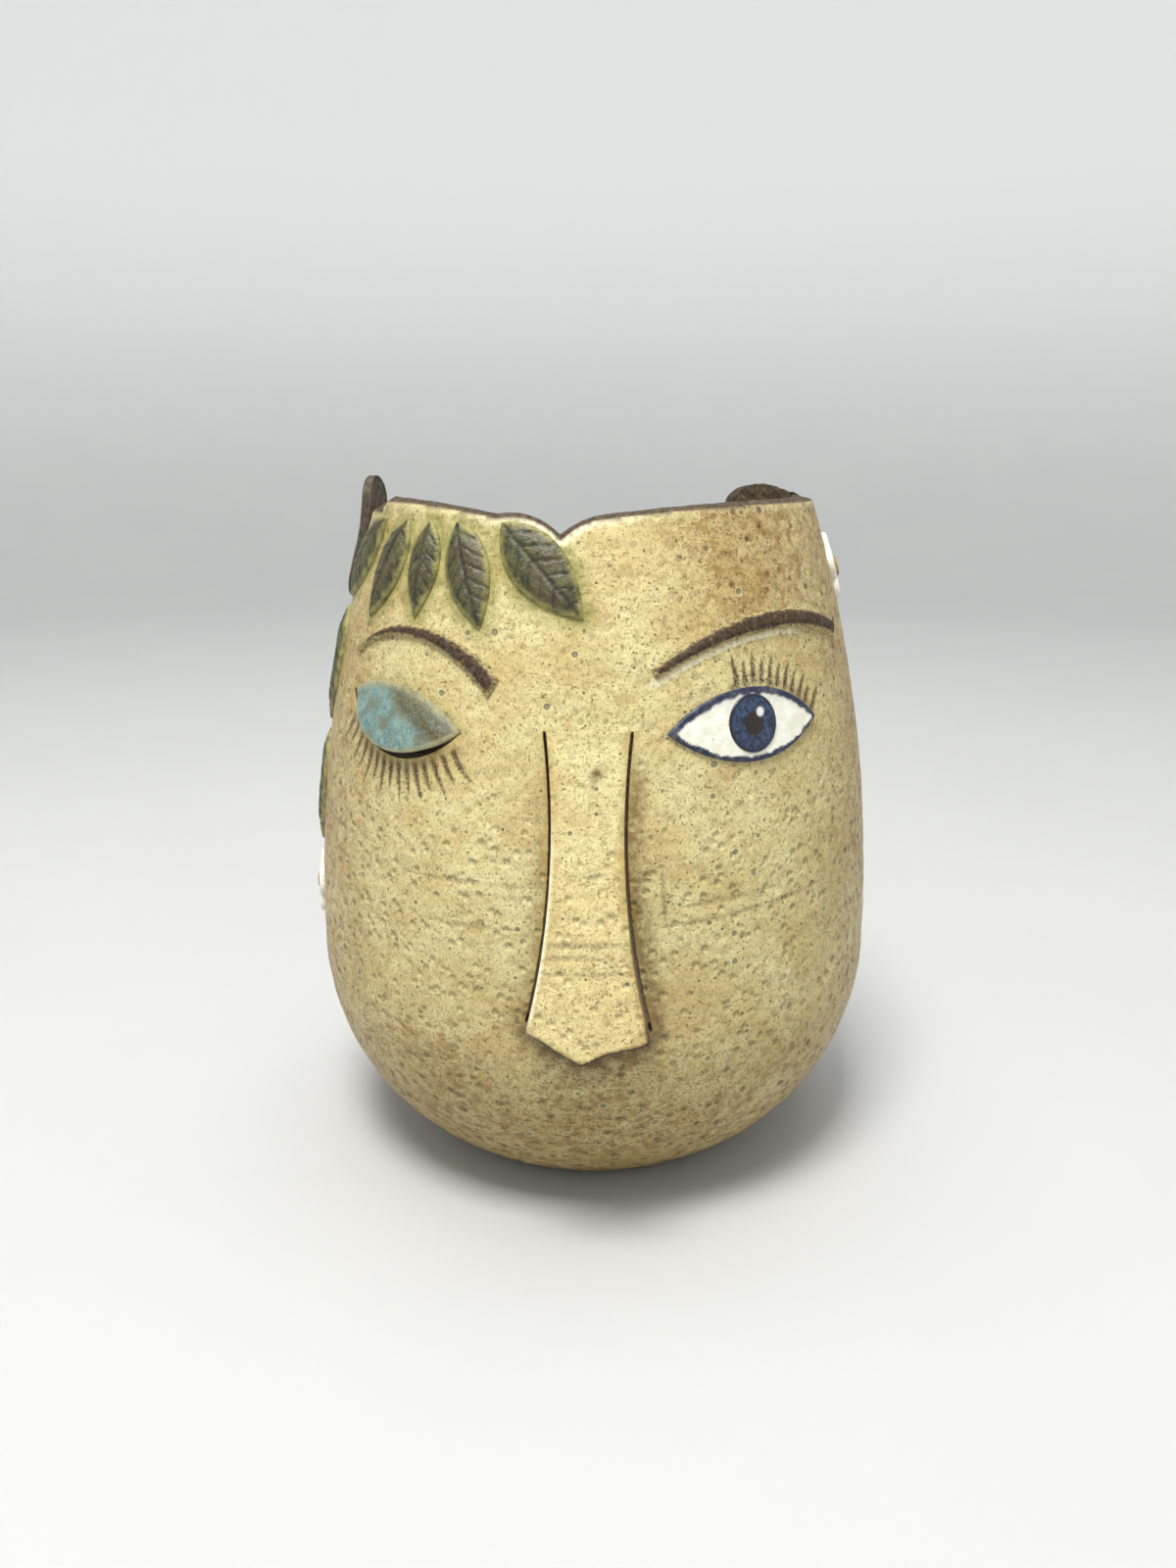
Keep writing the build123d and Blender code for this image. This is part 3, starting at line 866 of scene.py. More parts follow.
def lid_glaze():
    """Blue-green glaze with smudges and a brown drift across it, thin over the lip and along the top."""
    look = Look("lid_glaze")
    mottle = look.grain(1.8, 5.0, 0.7)
    grit = look.grain(0.5, 3.0, 0.7)
    look.colour = look.blend(mottle, 0.38, 0.64, DEEP_TEAL, TEAL)
    look.coat(PALE_TEAL, look.step(grit, 0.48, 0.66), 0.5)
    look.coat(LID_SMUDGE, look.step(look.grain(3.6, 3.0, 0.6), 0.50, 0.62), 0.7)
    drift = look.blend(grit, 0.42, 0.62, DRIFT_DARK, DRIFT_PALE)
    look.mark(drift, "drift", mottle, 0.3, 0.6, 0.65, 1.0)
    look.coat(BROWN, look.step(look.grain(1.0, 4.0, 0.75), 0.60, 0.70), 0.7)
    look.mark(LID_LIP, "thin", mottle, 0.3, 0.6, 0.4, 1.0)
    return look.finish(look.step(mottle, 0.3, 0.7, 0.42, 0.6), look.grain(1.1, 3.0), 0.25)


def iron_brown():
    """Brushed iron slip, with the clay breaking through it and showing at the edges of the strip."""
    look = Look("iron_brown", specular=0.25)
    brushed = look.grain(0.7, 4.0, 0.75)
    mottle = look.grain(2.4, 5.0, 0.7)
    look.colour = look.blend(brushed, 0.40, 0.62, BROW_DARK, BROW_WORN)
    look.coat(BROW_GREY, look.step(mottle, 0.48, 0.64), 0.6)
    look.coat(TAN, look.step(mottle, 0.40, 0.30), 0.7)
    look.mark(STRAW, "edge", brushed, 0.40, 0.56, 0.2, 1.0)
    return look.finish(look.step(brushed, 0.3, 0.7, 0.55, 0.75), brushed, 0.3)


def white_slip():
    """White slip, a little worn, with a cobalt line along its edge where the mesh asks for one."""
    look = Look("white_slip")
    mottle = look.grain(2.2, 4.0, 0.6)
    look.colour = look.blend(mottle, 0.3, 0.72, SLIP_CREAM, SLIP_WHITE)
    look.coat(TAN, look.specks(1.6, 0.2, 0.2), 0.5)
    look.coat(SLIP_SHADE, look.value("shade"), 0.6)
    look.mark(NAVY, "line", mottle, 0.25, 0.55, 0.85, 1.0)
    return look.finish(look.step(mottle, 0.3, 0.7, 0.38, 0.5), look.grain(1.2, 3.0), 0.12)


def cobalt():
    """Cobalt iris with a dark pupil and a small bare glint."""
    look = Look("cobalt")
    ring = look.value("ring")
    washed = look.grain(1.0, 4.0, 0.65)
    look.colour = look.blend(washed, 0.36, 0.64, COBALT_DEEP, COBALT)
    look.coat(PUPIL, look.step(ring, *PUPIL_EDGE))
    look.coat(COBALT_RING, look.step(ring, *RING_EDGE))
    look.coat(GLINT, look.value("glint"))
    return look.finish(look.step(washed, 0.3, 0.7, 0.3, 0.45), washed, 0.08)


def leaf_green():
    """Olive glaze that pools dark in the veins, breaks to brown and thins to yellow at the edges."""
    look = Look("leaf_green")
    mottle = look.grain(2.4, 5.0, 0.7)
    look.colour = look.blend(mottle, 0.38, 0.64, LEAF_DARK, LEAF_GREEN)
    look.coat(LEAF_BROWN, look.step(look.grain(7.0, 3.0, 0.6), 0.44, 0.62), 0.8)
    look.coat(LEAF_GRIT, look.step(look.grain(0.55, 3.0, 0.7), 0.5, 0.66), 0.45)
    look.mark(LEAF_EDGE, "edge", mottle, 0.32, 0.62, 0.2, 1.0)
    look.mark(LEAF_VEIN, "line", mottle, 0.3, 0.62, 1.0, 0.4)
    return look.finish(look.step(mottle, 0.35, 0.7, 0.34, 0.62), look.grain(1.0, 4.0, 0.6), 0.3)


def grey_brown():
    """Dry grey-brown clay of the ear, darker along its edge."""
    look = Look("grey_brown", specular=0.25)
    mottle = look.grain(2.4, 5.0, 0.7)
    flecks = look.grain(1.0, 4.0, 0.75)
    look.colour = look.blend(mottle, 0.36, 0.66, EAR_DARK, EAR_GREY)
    look.coat(IRON, look.step(flecks, 0.56, 0.68), 0.7)
    look.mark(RIM_DARK, "edge", flecks, 0.36, 0.6, 0.9, 0.5)
    return look.finish(look.step(mottle, 0.3, 0.7, 0.6, 0.8), look.grain(1.2, 3.0), 0.3)


def ochre_button():
    """Ochre glaze of the blossoms' buttons, brown in the dimples."""
    look = Look("ochre")
    mottle = look.grain(1.3, 3.0)
    look.colour = look.blend(mottle, 0.35, 0.65, OCHRE_DARK, OCHRE)
    return look.finish(look.step(mottle, 0.3, 0.7, 0.35, 0.5), mottle, 0.2)


def bare_clay():
    """Unglazed clay of the floor, with dark and pale grog."""
    look = Look("bare_clay")
    mottle = look.grain(4.0, 4.0, 0.6)
    look.colour = look.blend(mottle, 0.3, 0.7, BARE_CLAY, DRY_CLAY)
    look.coat(IRON, look.specks(1.5, 0.3, 0.4), 0.6)
    look.coat(STRAW, look.specks(2.3, 0.25, 0.3), 0.5)
    return look.finish(look.step(mottle, 0.3, 0.7, 0.75, 0.9), look.grain(1.0, 3.0), 0.3)


# Strokes drawn on the wall, each as points and their widths


def lash_strokes(node, count, span, start, length, lean, upper):
    """Even lashes that fan out from the upper or the lower edge of an eye."""
    facing = Facing(node)
    loop = outline_of(node, facing)
    middle = loop.mean(axis=0)
    half = (loop[:, 0].max() - loop[:, 0].min()) / 2
    side = loop[(loop[:, 1] > middle[1]) == upper]
    rise = 1 if upper else -1
    strokes = []
    for number, place in enumerate(np.linspace(*span, count)):
        x = middle[0] + place * half
        edge = side[np.abs(side[:, 0] - x).argmin(), 1]
        angle = lean * place
        shorter_outside = 1 - 0.25 * place**2
        shorter_in_turn = 1 - 0.22 * (number % 2)
        along = np.linspace(start, start + length * shorter_outside * shorter_in_turn, LASH_POINTS)
        bend = 0.05 * (along - start) ** 2 * place
        flat = np.column_stack([x + sin(angle) * along + bend, edge + rise * cos(angle) * along])
        strokes.append((facing.on_wall(flat), np.linspace(*LASH_WIDTHS, LASH_POINTS)))
    return strokes


def drawn_marks(marks):
    """Faint marks of a tool that fade out at both ends."""
    strokes = []
    for start, end, low, high in marks:
        azimuth = np.radians(np.linspace(start, end, MARK_POINTS))
        height = np.linspace(low, high, MARK_POINTS)
        fade = TOOL_WIDTH * np.sin(np.linspace(0, pi, MARK_POINTS)) ** 0.5
        strokes.append((around(azimuth, radius_at(height), height), fade))
    return strokes


def brow_bevel(drop):
    """Points on the wall at a drop below the inner part of the right brow, where the clay is bevelled."""
    facing = Facing("right_brow")
    loop = resampled(outline_of("right_brow", facing), OUTLINE_SPACING)
    share = (loop[:, 0] - loop[:, 0].min()) / np.ptp(loop[:, 0])
    column = np.round(share * BEVEL_COLUMNS)
    lowest = [loop[column == number][loop[column == number, 1].argmin()] for number in BEVELLED]
    return facing.on_wall(np.array(lowest) - (0, drop))


def wall_strokes():
    """Lashes of both eyes, and the marks of a tool with the foot of the bevel under the right brow."""
    lashes = lash_strokes("closed_eyelid", 15, (-0.86, 0.86), start=2.6, length=7.4, lean=0.55, upper=False)
    lashes += lash_strokes("eye_white", 11, (-0.15, 0.96), start=1.0, length=5.0, lean=0.5, upper=True)
    under_brow = brow_bevel(BEVEL_WIDTH)
    return lashes, drawn_marks(TOOL_MARKS) + [(under_brow, np.linspace(0.4, 0.1, len(under_brow)))]


def stroke_points(strokes):
    """Fine points along and beside strokes, on the unrolled wall, one for each small cell."""
    wide = []
    for points, _ in strokes:
        flat = resampled(unrolled(points), STROKE_SPACING, closed=False)
        across = sideways(np.gradient(flat, axis=0))
        for side in range(-2, 3):
            wide.append(flat + across * side * STROKE_SPACING)
    points = np.concatenate(wide)
    cells = np.floor(points / STROKE_CELL).astype(int)
    _, first = np.unique(cells, axis=0, return_index=True)
    return points[np.sort(first)]


def stroke_depth(points, strokes):
    """How deep each point lies in the strokes, from 0 to 1."""
    tree = near_tree(np.concatenate([stroke for stroke, _ in strokes]))
    widths = np.concatenate([width for _, width in strokes])
    depth = np.zeros(len(points))
    for index, point in enumerate(points):
        _, nearest, distance = tree.find(point)
        reach = 2.2 * widths[nearest] + 0.05
        depth[index] = distance / reach
    return smooth(depth, 1.0, 0.35)


# The wall, unrolled into a plane and rolled up again


def unrolled(points):
    """Places on the unrolled wall of some points."""
    return np.column_stack([azimuth_of(points) * UNROLLED_RADIUS, climb_at(points[:, 2])])


def opened(loop):
    """Loop round the axis as an open run from the back seam to the back seam, left to right."""
    loop = np.roll(loop, -int(azimuth_of(loop).argmin()), axis=0)
    azimuth = azimuth_of(loop)
    if azimuth[1] > azimuth[-1]:
        loop = np.roll(loop[::-1], 1, axis=0)
    flat = unrolled(loop)
    flat = flat[np.abs(flat[:, 0]) < BACK_SEAM - SEAM_CLEARANCE]
    seam = np.array([BACK_SEAM, (flat[0, 1] + flat[-1, 1]) / 2])
    return np.concatenate([[seam * (-1, 1)], flat, [seam]])


def askew(beside, height):
    """How much lower the hand-cut right corner of the nose hangs than the left one, at each place."""
    near_corner = smooth(height, NOSE_CORNER_HEIGHT + 8, NOSE_CORNER_HEIGHT)
    return CORNER_ASKEW * smooth(beside, 4, 12) * near_corner


def nose_outline(node, facing):
    """Outline of the nose with its right corner cut lower and its tip a little to the left."""
    loop = resampled(outline_of(node, facing), 1.0)
    drop = askew(loop[:, 0], loop[:, 1])
    to_left = TIP_ASKEW * smooth(loop[:, 1], NOSE_CORNER_HEIGHT - 0.5, NOSE_CORNER_HEIGHT - 5.5)
    return loop + np.column_stack([CORNER_FLARE * drop - to_left, -drop])


def drawn_closer(hole):
    """Loop of the nose's slot with its sides nearer to the nose, or another loop of the wall as it is."""
    beside = hole[:, 0] - CUT_AZIMUTHS["nose_strip"] * UNROLLED_RADIUS
    if abs(beside.mean()) > UNROLLED_RADIUS / 4:
        return hole
    drop = askew(beside, height_at(hole[:, 1]))
    return hole + np.column_stack([CORNER_FLARE * drop - SLIT_CLOSING * np.tanh(beside / 2), -drop])


def wall_domain(offset, spacing):
    """Loops of the unrolled wall at an offset, the outer one first, and the lengths of that one's runs."""
    loops = edges_on_surface("vase_wall", offset)
    rim = max(loops, key=lambda loop: loop[:, 2].mean())
    foot = min(loops, key=lambda loop: loop[:, 2].mean())
    rest = [loop for loop in loops if loop is not rim and loop is not foot]
    holes = [drawn_closer(unrolled(loop)) for loop in rest if np.ptp(loop[:, 2]) > LEAST_OPENING]
    holes = [resampled(hole, min(spacing, HOLE_SPACING)) for hole in holes]
    top = resampled(opened(rim), spacing, closed=False)
    low = climb_at(foot[:, 2].mean())
    steps = round(2 * BACK_SEAM / spacing)
    bottom = np.column_stack([np.linspace(-BACK_SEAM, BACK_SEAM, steps + 1), np.full(steps + 1, low)])
    seam_steps = round((top[0, 1] - low) / spacing)
    seam = np.linspace(low, top[0, 1], seam_steps + 1)[1:-1]
    right = np.column_stack([np.full(len(seam), BACK_SEAM), seam])
    outer = np.concatenate([bottom, right, top[::-1], right[::-1] * (-1, 1)])
    return [outer, *holes], (len(bottom), len(right), len(top))


def close_seam(triangles, runs):
    """Triangles with the right edge of the seam joined to the left one, and the loops of the foot and rim."""
    bottom, right, top = runs
    total = bottom + 2 * right + top
    table = np.arange(triangles.max() + 1)
    table[bottom - 1] = 0
    table[bottom + right] = bottom + right + top - 1
    table[bottom : bottom + right] = total - 1 - np.arange(right)
    foot = np.arange(bottom - 1)
    rim = np.arange(bottom + right + 1, bottom + right + top)
    return table[triangles], foot, rim


class WallSide:
    """Mesh of one side of the wall, with its loops and the distance of its points from the rim."""

    def __init__(self, offset, spacing, rim_spacing, extra=None):
        loops, runs = wall_domain(offset, spacing)
        self.flat, triangles, (_, *self.holes) = plane_mesh(loops, spacing, SLIT_ROUNDING, extra)
        self.triangles, self.foot, self.rim = close_seam(triangles, runs)
        self.height = height_at(self.flat[:, 1])
        self.azimuth = self.flat[:, 0] / UNROLLED_RADIUS
        self.points = around(self.azimuth, radius_at(self.height, offset), self.height)
        self.rim_distance = distances(self.points, resampled(self.points[self.rim], rim_spacing))


def toasted_and_shaded(points):
    """How brown each point is: glaze burned brown at the upper right, and painted shade at the sides and
    towards the bottom, broken up in clouds.
    """
    azimuth = np.degrees(azimuth_of(points))
    height = points[:, 2]
    upper_right = 0.9 * smooth(azimuth, 4, 34) * smooth(azimuth, 140, 80) * smooth(height, 120, 150)
    # Painted shade: browner at the sides and towards the bottom, where the vase turns away from the light
    sides = 0.72 * smooth(np.abs(azimuth), 26, 72)
    low = smooth(height, 78, 14) * (1 - 0.22 * smooth(azimuth, 8, 34))
    cloud = uneven(points, size=19, seed=5.3)
    return np.clip(np.maximum(np.maximum(upper_right, sides), low) * (0.6 + 0.7 * cloud), 0, 1)


def edge_on_wall(node, seam=None):
    """Points on the wall along the outline of a node, or only along its seam."""
    facing = Facing(node)
    loop = resampled(outline_of(node, facing), OUTLINE_SPACING)
    return facing.on_wall(loop if seam is None else loop[seam(loop)])


def open_edge(points):
    """Those points of the edge of an opening that aren't on a seam which doesn't show."""
    nose_hole = abs(azimuth_of(points).mean()) < radians(20)
    facing = Facing("nose_strip" if nose_hole else "closed_eyelid")
    seam = nose_seam if nose_hole else lid_seam
    return points[~seam(facing.flat(points))]


def near_tip(height):
    """How near each height is to the lower end of the nose, from 0 to 1."""
    return smooth(height, NOSE_CORNER_HEIGHT + 4, NOSE_CORNER_HEIGHT - 2)


def slot_marks(side, hole_distance):
    """Brown along the nose's slot, heavier on its right, part the glaze's colour and part painted shade; a
    painted brown shadow below its tip; and a darker painted shade right under the tip.
    """
    beside = Facing("nose_strip").flat(side.points)[:, 0]
    front = smooth(np.abs(side.azimuth), radians(40), radians(20))
    below_root = smooth(side.height, NOSE_ROOT_HEIGHT + 1.5, NOSE_ROOT_HEIGHT - 16.5)
    # Brown along the slot: part the glaze's colour, part painted shade, heavier on the right of the nose
    along_slot = smooth(hole_distance, 5.5, 0.4) * front * below_root * (0.45 + 0.55 * smooth(beside, -2, 6))
    under = smooth(np.abs(beside), 18, 12) * near_tip(side.height)
    # Painted shadow: brown on the wall below the nose's tip, where the nose hangs over it
    shadow_below_tip = 0.85 * under * smooth(hole_distance, 9.0, 2.5)
    return np.maximum(along_slot, shadow_below_tip), 0.5 * under * smooth(hole_distance, 5.5, 2.8)


def outside_marks(side, hole_distance, drawn, turned):
    """Values that the glaze takes from each point of the outside."""
    stain_and_shadow, tip_shade = slot_marks(side, hole_distance)
    leaf_edges = np.concatenate([edge_on_wall(node) for node in LEAF_NODES])
    leaf_halo = 0.85 * smooth(distances(side.points, leaf_edges), 4.0, 0.3)
    lid_halo = 0.35 * smooth(distances(side.points, edge_on_wall("closed_eyelid", lid_seam)), 2.4, 0.2)
    bevel = smooth(distances(side.points, brow_bevel(BEVEL_WIDTH / 3)), 1.1, 0.6)
    # Pale lip under the rim, strongest by the notch: part pale glaze, part painted highlight
    near_notch = smooth(np.abs(side.azimuth - NOTCH_AZIMUTH), radians(24), radians(6))
    lip = smooth(side.rim_distance, 2.6, 1.2) * (0.15 + 0.85 * near_notch)
    return {
        "toast_and_shade": toasted_and_shaded(side.points),
        "stain_and_shadow": stain_and_shadow,
        "edge": 0.5 * smooth(hole_distance, 2.4, 0.3),
        # Dark rim along the top, and painted shade along the edges of the slits
        "rim": np.maximum(smooth(side.rim_distance, 0.9, 0.3), smooth(hole_distance, 0.16, 0.04)),
        "halo": np.maximum(leaf_halo, lid_halo),
        # line also carries the painted shade right under the nose's tip
        "line": np.maximum(np.maximum(drawn, 0.5 * turned), tip_shade),
        # pale: the bevel under the right brow, and the painted highlight on the lip
        "pale": np.maximum(lip, bevel),
        "dimpled": dimpled(side.height),
        "coarse": smooth(side.azimuth, radians(8), radians(34)),
    }


def outside_depth(side, hole_distance):
    """How far the hand-worked outside lies below the true surface: rounded edges, dents and waves."""
    cut = np.maximum(rounded_off(side.rim_distance, RIM_ROUNDING), rounded_off(hole_distance, SLIT_ROUNDING))
    foot_cut = rounded_off(side.flat[:, 1] - side.flat[side.foot[0], 1], RIM_ROUNDING)
    edge_distance = np.minimum(side.rim_distance, hole_distance)
    return cut + foot_cut + hammered(side.points) * smooth(edge_distance, 0, 3) * smooth(side.height, 0, 4)


def inside_dark_and_shade(side):
    """How dark the bare clay is inside: dark at the rim, and painted shade round the openings and deep down.
    """
    dark = np.maximum(0.8 * smooth(side.height, 132, 92), smooth(side.rim_distance, 2.6, 1.2))
    # Painted shade all through the slits
    dark[np.concatenate(side.holes)] = 1
    return dark


def wall_faces(points, outer, inner, turns):
    """Triangles of both sides of the wall, and of the strips that join them at its edges and the foot."""
    start = len(outer.points)
    low = start + len(inner.points) + np.arange(turns)
    high = low + turns
    faces = [outer.triangles, inner.triangles + start, zipped(points, outer.rim, inner.rim + start)]
    partners = [hole + start for hole in inner.holes]
    for hole in outer.holes:
        middle = points[hole].mean(axis=0)
        partner = min(partners, key=lambda other: np.linalg.norm(points[other].mean(axis=0) - middle))
        faces.append(zipped(points, hole, partner))
    for first, second in ((outer.foot, low), (low, high), (high, inner.foot + start)):
        faces.append(zipped(points, first, second))
    return np.concatenate(faces)


def vase_wall(material):
    """Wall with a hand-worked outside, rounded edges, strokes drawn in it and a plain inside."""
    lashes, rings = wall_strokes()
    outer = WallSide(0.0, OUTSIDE_SPACING, OUTSIDE_RIM_SPACING, stroke_points(lashes + rings))
    inner = WallSide(-WALL, INSIDE_SPACING, INSIDE_RIM_SPACING)
    open_edges = np.concatenate([open_edge(outer.points[hole]) for hole in outer.holes])
    hole_distance = distances(outer.points, open_edges)
    drawn = stroke_depth(outer.points, lashes)
    broken = 0.3 + 0.7 * smooth(uneven(outer.points, size=2.6, seed=6.6), 0.3, 0.62)
    turned = stroke_depth(outer.points, rings) * broken
    depth = outside_depth(outer, hole_distance) + LASH_GROOVE * drawn + TOOL_GROOVE * turned
    turn = inner.azimuth[inner.foot]
    points = np.concatenate([
        outer.points - outward(outer.points) * depth[:, None],
        inner.points + outward(inner.points) * rounded_off(inner.rim_distance, RIM_ROUNDING)[:, None],
        around(turn, FOOT_HOLE_RADIUS, 0.0),
        around(turn, FOOT_HOLE_RADIUS, FLOOR),
    ])
    faces = wall_faces(points, outer, inner, len(turn))

    start = len(outer.points)
    rest = np.zeros(len(points) - start)
    marks = outside_marks(outer, hole_distance, drawn, turned)
    marks = {key: np.concatenate([values, rest]) for key, values in marks.items()}
    marks["rim"][start : start + len(inner.points)] = inside_dark_and_shade(inner)
    marks["inside"] = np.arange(len(points)) >= start
    add_piece("wall", "vase_wall", points, faces, material, marks)


# Nose and closed lid


def nose_place(facing, flat, offset):
    """Points on the wall's shape after it is swung outward about the root of the nose."""
    root_height = flat[:, 1].max()
    root_out = float(radius_at(root_height))
    swing = atan(NOSE_LIFT / NOSE_LENGTH)
    rise = flat[:, 1] - root_height
    out = -rise * np.tan(swing)
    for _ in range(SWING_ROUNDS):
        height = rise * cos(swing) - out * sin(swing) + root_height
        wall = np.sqrt(radius_at(height, offset) ** 2 - flat[:, 0] ** 2)
        out = (wall - root_out - rise * sin(swing)) / cos(swing)
    return facing.point(flat, root_out + out)


def nose_marks(flat, depth):
    """Values that the glaze takes from each point of the nose, whose front comes before its back."""
    beside, height = flat.T
    on_wall = Facing("nose_strip").on_wall(flat)
    front = np.arange(len(flat)) < len(flat) // 2
    low = near_tip(height)
    left = smooth(beside, 2, -4) * (1 - low)
    right = smooth(beside, 4, 8) * smooth(height, 86, 70) * (1 - low)
    ragged = uneven(on_wall, size=1.1, seed=4.9)
    width = 0.12 + (0.42 + 0.6 * ragged) * low + 0.45 * ragged * right
    # Dark worn edges, and a painted shadow line along the nose's lower edges
    worn = smooth(depth, width, 0.4 * width) * (0.35 + 0.65 * low + 0.3 * right) * (1 - left)
    # Painted highlight along the nose's left edge, which faces the light
    lit_edge = left * smooth(depth, 0.9, 0.4) * smooth(height, 104, 84)
    spot = smooth(np.linalg.norm(flat - NOSE_SPOT, axis=1), 2.0, 0.6)
    swung = smooth(height, NOSE_ROOT_HEIGHT, NOSE_ROOT_HEIGHT - 18)
    return {
        "toast_and_shade": toasted_and_shaded(on_wall) * (1 - 0.8 * swung),
        "stain_and_shadow": np.maximum(0.2 * smooth(depth, 2.5, 0.3) * (1 - left), front * spot),
        "edge": front * 0.55 * smooth(depth, 1.8, 0.3),
        # The back of the nose is darkened with painted shade, as in the slits
        "rim": np.where(front, worn, 0.35),
        "line": front * 0.45 * stroke_depth(on_wall, drawn_marks(NOSE_MARKS)),
        "dimpled": 0.6 * dimpled(height),
        "pale": front * lit_edge,
        # Painted highlight, lighter down the lower part of the nose
        "painted_highlight": 0.55 * smooth(height, 112, 66),
        "inside": ~front,
    }


def nose(material):
    """Tongue of the wall with crisp, slightly worn edges."""

    def relief(facing, flat, depth):
        below_root = smooth(flat[:, 1], NOSE_ROOT_HEIGHT, NOSE_ROOT_HEIGHT - 3)
        return -hammered(facing.on_wall(flat)) * smooth(depth, 0, 3) * below_root

    points, faces, flat, depth = sheet(
        "nose_strip", 0.6, SLIT_ROUNDING, relief, nose_place, -WALL, nose_outline, nose_seam
    )
    add_piece("nose", "nose_strip", points, faces, material, nose_marks(flat, depth))


def lid_place(facing, flat, offset):
    """Points on the dome of the closed lid."""
    low_out, high_out = radius_at(np.array([LID_TOP_HEIGHT - LID_DEPTH, LID_TOP_HEIGHT])) + (LID_LIFT, 0)
    chord = np.hypot(high_out - low_out, LID_DEPTH)
    inward = np.sqrt(LID_DOME_RADIUS**2 - chord**2 / 4) / chord
    centre_out = (low_out + high_out) / 2 - inward * LID_DEPTH
    centre_height = LID_TOP_HEIGHT - LID_DEPTH / 2 - inward * (low_out - high_out)
    rise = flat[:, 1] - centre_height
    depth = centre_out + np.sqrt((LID_DOME_RADIUS + offset) ** 2 - flat[:, 0] ** 2 - rise**2)
    return facing.point(flat, depth)


def lid(material):
    """Domed lid that runs into the wall along its top and ends in a soft pale lip."""
    facing = Facing("closed_eyelid")
    loop = resampled(outline_of("closed_eyelid", facing), 0.3)
    top = loop[lid_seam(loop)]

    def place(facing, flat, offset):
        share = smooth(distances(flat, top), 3.4, 0.0)[:, None]
        return (1 - share) * lid_place(facing, flat, offset) + share * facing.on_wall(flat, offset)

    def relief(facing, flat, depth):
        dents = uneven(facing.on_wall(flat), size=3.5, seed=2.2)
        return -0.1 * dents * smooth(distances(flat, top), 0, 2)

    points, faces, flat, depth = sheet(
        "closed_eyelid", 0.6, 0.9, relief, place, under=-LID_THICKNESS, seam=lid_seam
    )
    u = flat[:, 0] / LID_WIDTH
    v = (flat[:, 1] - flat[:, 1].mean()) / LID_DEPTH
    slanted = smooth(np.abs(0.83 * u + 0.55 * v - 0.25), 0.17, 0.05)
    marks = {
        "thin": np.maximum(0.9 * smooth(depth, 1.2, 0.3), 0.85 * smooth(distances(flat, top), 2.0, 0.1)),
        "drift": np.maximum(slanted, 0.8 * smooth(u, -0.4, -0.47)),
    }
    add_piece("lid", "closed_eyelid", points, faces, material, marks)


# Pieces pressed onto the wall


def eye(white, blue):
    """Two coats of the open eye: a white almond with a line round it, and a round iris with a glint."""
    points, faces, flat, depth = sheet("eye_white", spacing=0.4, rounding=0.4, relief=lambda *_: EYE_COAT)
    above = flat[:, 1] - flat[:, 1].mean()
    thick = 0.55 + 0.5 * smooth(above, -2, 4) + 1.1 * uneven(flat, size=1.6, seed=9.3)
    marks = {
        "line": smooth(depth, 1.1 * thick, 0.8 * thick),
        "shade": 0.5 * smooth(depth, 3.2, 0.8) * smooth(above, 0, 5),
    }
    add_piece("open_eye", "eye_white", points, faces, white, marks)

    points, faces, flat, _ = sheet("eye_iris", spacing=0.3, rounding=0.35, relief=lambda *_: IRIS_COAT)
    middle = (flat.min(axis=0) + flat.max(axis=0)) / 2
    from_glint = np.linalg.norm(flat - middle - GLINT_PLACE, axis=1)
    marks = {"ring": np.linalg.norm(flat - middle, axis=1), "glint": smooth(from_glint, 1.15, 0.75)}
    add_piece("iris", "eye_iris", points, faces, blue, marks)


def lower_edge(flat, depth):
    """Places on the lower edge of a strip."""
    window = 17
    on_edge = depth < 0.05
    across = flat[on_edge][np.argsort(flat[on_edge, 0])]
    padded = np.pad(across[:, 1], window // 2, mode="edge")
    middle = np.convolve(padded, np.ones(window) / window, mode="valid")
    return flat[on_edge & (flat[:, 1] < np.interp(flat[:, 0], across[:, 0], middle))]


def brow(side, material):
    """Raised brow strip with soft edges, brush marks and a pale lower edge."""

    def relief(facing, flat, depth):
        brushed = 0.3 * uneven(facing.on_wall(flat), size=1.4, seed=4.4)
        return BROW_EDGE + BROW_CROWN * smooth(depth, 0.2, 1.4) - brushed

    points, faces, flat, depth = sheet(f"{side}_brow", spacing=0.45, rounding=0.8, relief=relief)
    bevel = smooth(distances(flat, lower_edge(flat, depth)), 0.9, 0.3)
    ragged = smooth(depth, 0.3 + 0.9 * uneven(flat, size=1.3, seed=3.7), 0.1)
    marks = {"edge": np.maximum(0.8 * ragged, bevel)}
    add_piece(f"brow_{side}", f"{side}_brow", points, faces, material, marks)


def leaf_frame(flat):
    """Places along a leaf, from 0 at its stalk to 1 at its tip, places across it, and its length."""
    middle = flat.mean(axis=0)
    _, _, axes = np.linalg.svd(flat - middle, full_matrices=False)
    along = (flat - middle) @ axes[0]
    across = (flat - middle) @ axes[1]
    if flat[along.argmax(), 1] > flat[along.argmin(), 1]:
        along = -along
    return (along - along.min()) / np.ptp(along), across, np.ptp(along)


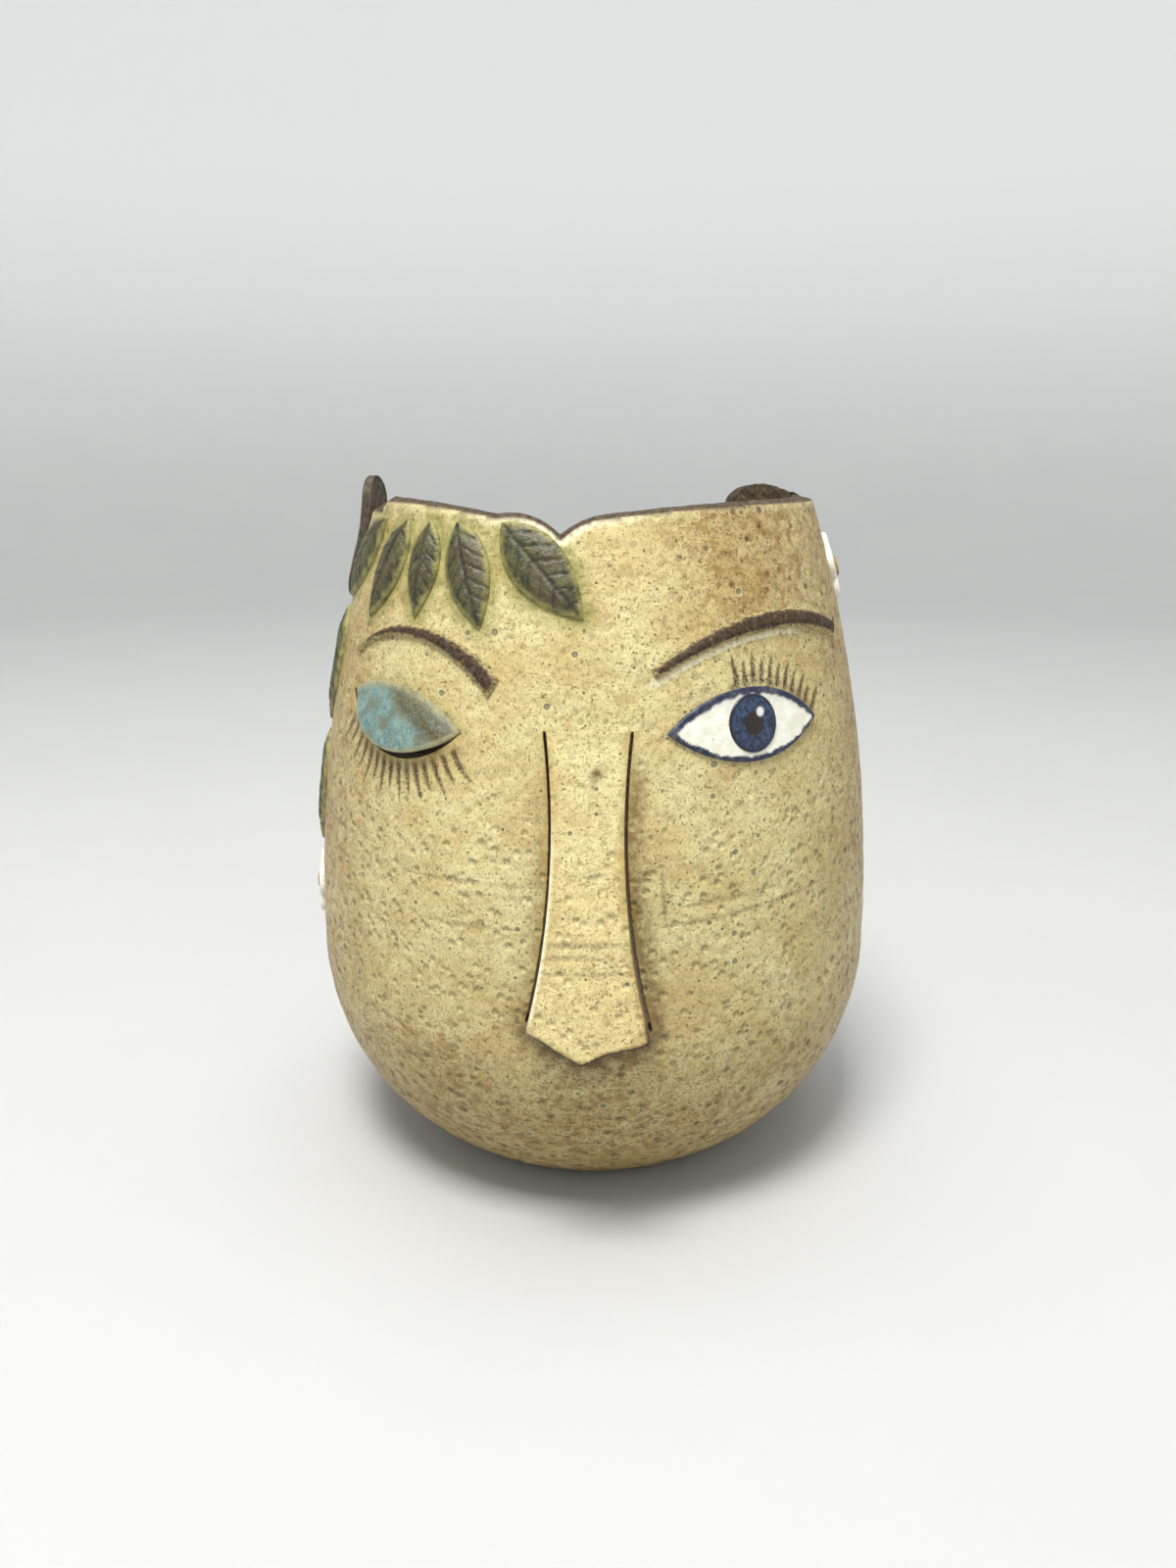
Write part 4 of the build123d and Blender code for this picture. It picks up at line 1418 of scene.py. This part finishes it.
def leaf_veins(flat):
    """How deep each place of a leaf lies in its midrib and its side veins, from 0 to 1."""
    along, across, length = leaf_frame(flat)
    midrib = smooth(np.abs(across), 0.62, 0.2)
    wander = 1.1 * uneven(flat, size=3.2, seed=5.9)
    from_stalk = along * length - VEIN_SLANT * np.abs(across) + wander + 0.4 * (across > 0)
    step = length / (VEINS + 1)
    to_vein = np.abs((from_stalk / step + 0.5) % 1 - 0.5) * step
    side = smooth(to_vein, 0.5, 0.15) * smooth(along, 0.02, 0.1) * smooth(along, 0.98, 0.85)
    return np.maximum(midrib, 0.8 * side)


def leaf(node, material):
    """Pressed-on leaf, hollowed along its veins and thinned towards its edge."""

    def relief(facing, flat, depth):
        cushion = LEAF_RIM + LEAF_CUSHION * smooth(depth, 0, 3.2)
        wavy = 0.3 * uneven(facing.on_wall(flat), size=3.0, seed=1.7)
        return cushion - wavy - VEIN_GROOVE * leaf_veins(flat) * smooth(depth, 0.2, 1.0)

    points, faces, flat, depth = sheet(node, spacing=0.42, rounding=0.7, relief=relief)
    marks = {"line": leaf_veins(flat) * smooth(depth, 0.1, 0.6), "edge": smooth(depth, 1.5, 0.2)}
    add_piece(node.replace("leaf", "frond"), node, points, faces, material, marks)


def blossom(side, white, ochre):
    """Blossom of cupped petals with its button."""

    def petals(facing, flat, depth):
        middle = (flat.min(axis=0) + flat.max(axis=0)) / 2
        from_middle = np.linalg.norm(flat - middle, axis=1)
        return PETAL_FRONT - PETAL_CUP * smooth(depth, 0.8, 3.0) * smooth(from_middle, 1.5, 4.0)

    node = f"{side}_blossom"
    points, faces, _, depth = sheet(node, spacing=0.5, rounding=0.7, relief=petals)
    marks = {"shade": 0.6 * smooth(depth, 2.2, 3.6)}
    add_piece(f"{side}_flower", node, points, faces, white, marks)

    def button(facing, flat, depth):
        dimples = 0.35 * uneven(facing.on_wall(flat), size=1.1, seed=6.1)
        return PETAL_THICKNESS + BUTTON_RISE - dimples

    node = f"{side}_blossom_button"
    points, faces, _, _ = sheet(node, spacing=0.3, rounding=1.0, relief=button)
    add_piece(f"{side}_flower_button", node, points, faces, ochre, {})


def ear_place(facing, flat, offset):
    """Points on the ear, which follows the wall up to its bend and then flares out."""
    bend_turn = np.arcsin((EAR_BEND_HEIGHT - BELLY_HEIGHT) / UPPER_ARC)
    centre_out = float(radius_at(EAR_BEND_HEIGHT)) + EAR_FLARE_RADIUS * cos(bend_turn)
    centre_height = EAR_BEND_HEIGHT + EAR_FLARE_RADIUS * sin(bend_turn)
    flared = centre_out - np.sqrt((EAR_FLARE_RADIUS - offset) ** 2 - (flat[:, 1] - centre_height) ** 2)
    radius = np.where(flat[:, 1] > EAR_BEND_HEIGHT, flared, radius_at(flat[:, 1], offset))
    return facing.point(flat, np.sqrt(radius**2 - flat[:, 0] ** 2))


def ear(material):
    """Tongue that stands above the rim on the left."""

    def relief(facing, flat, depth):
        return EAR_FRONT - 0.3 * uneven(flat, size=3.0, seed=8.8)

    points, faces, _, depth = sheet("left_rim_ear", 0.6, 1.1, relief, ear_place, under=0.0, outline=hull_of)
    marks = {"edge": smooth(depth, 1.6, 0.4)}
    add_piece("rim_tongue", "left_rim_ear", points, faces, material, marks)


camera()
studio()
glaze = speckled_glaze()
vase_wall(glaze)
nose(glaze)
lid(lid_glaze())
white = white_slip()
eye(white, cobalt())
iron = iron_brown()
for side in ("left", "right"):
    brow(side, iron)
green = leaf_green()
for node in LEAF_NODES:
    leaf(node, green)
ochre = ochre_button()
for side in ("left", "right"):
    blossom(side, white, ochre)
ear(grey_brown())
floor_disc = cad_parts["floor_disc"]
floor_disc.data.materials.clear()
floor_disc.data.materials.append(bare_clay())
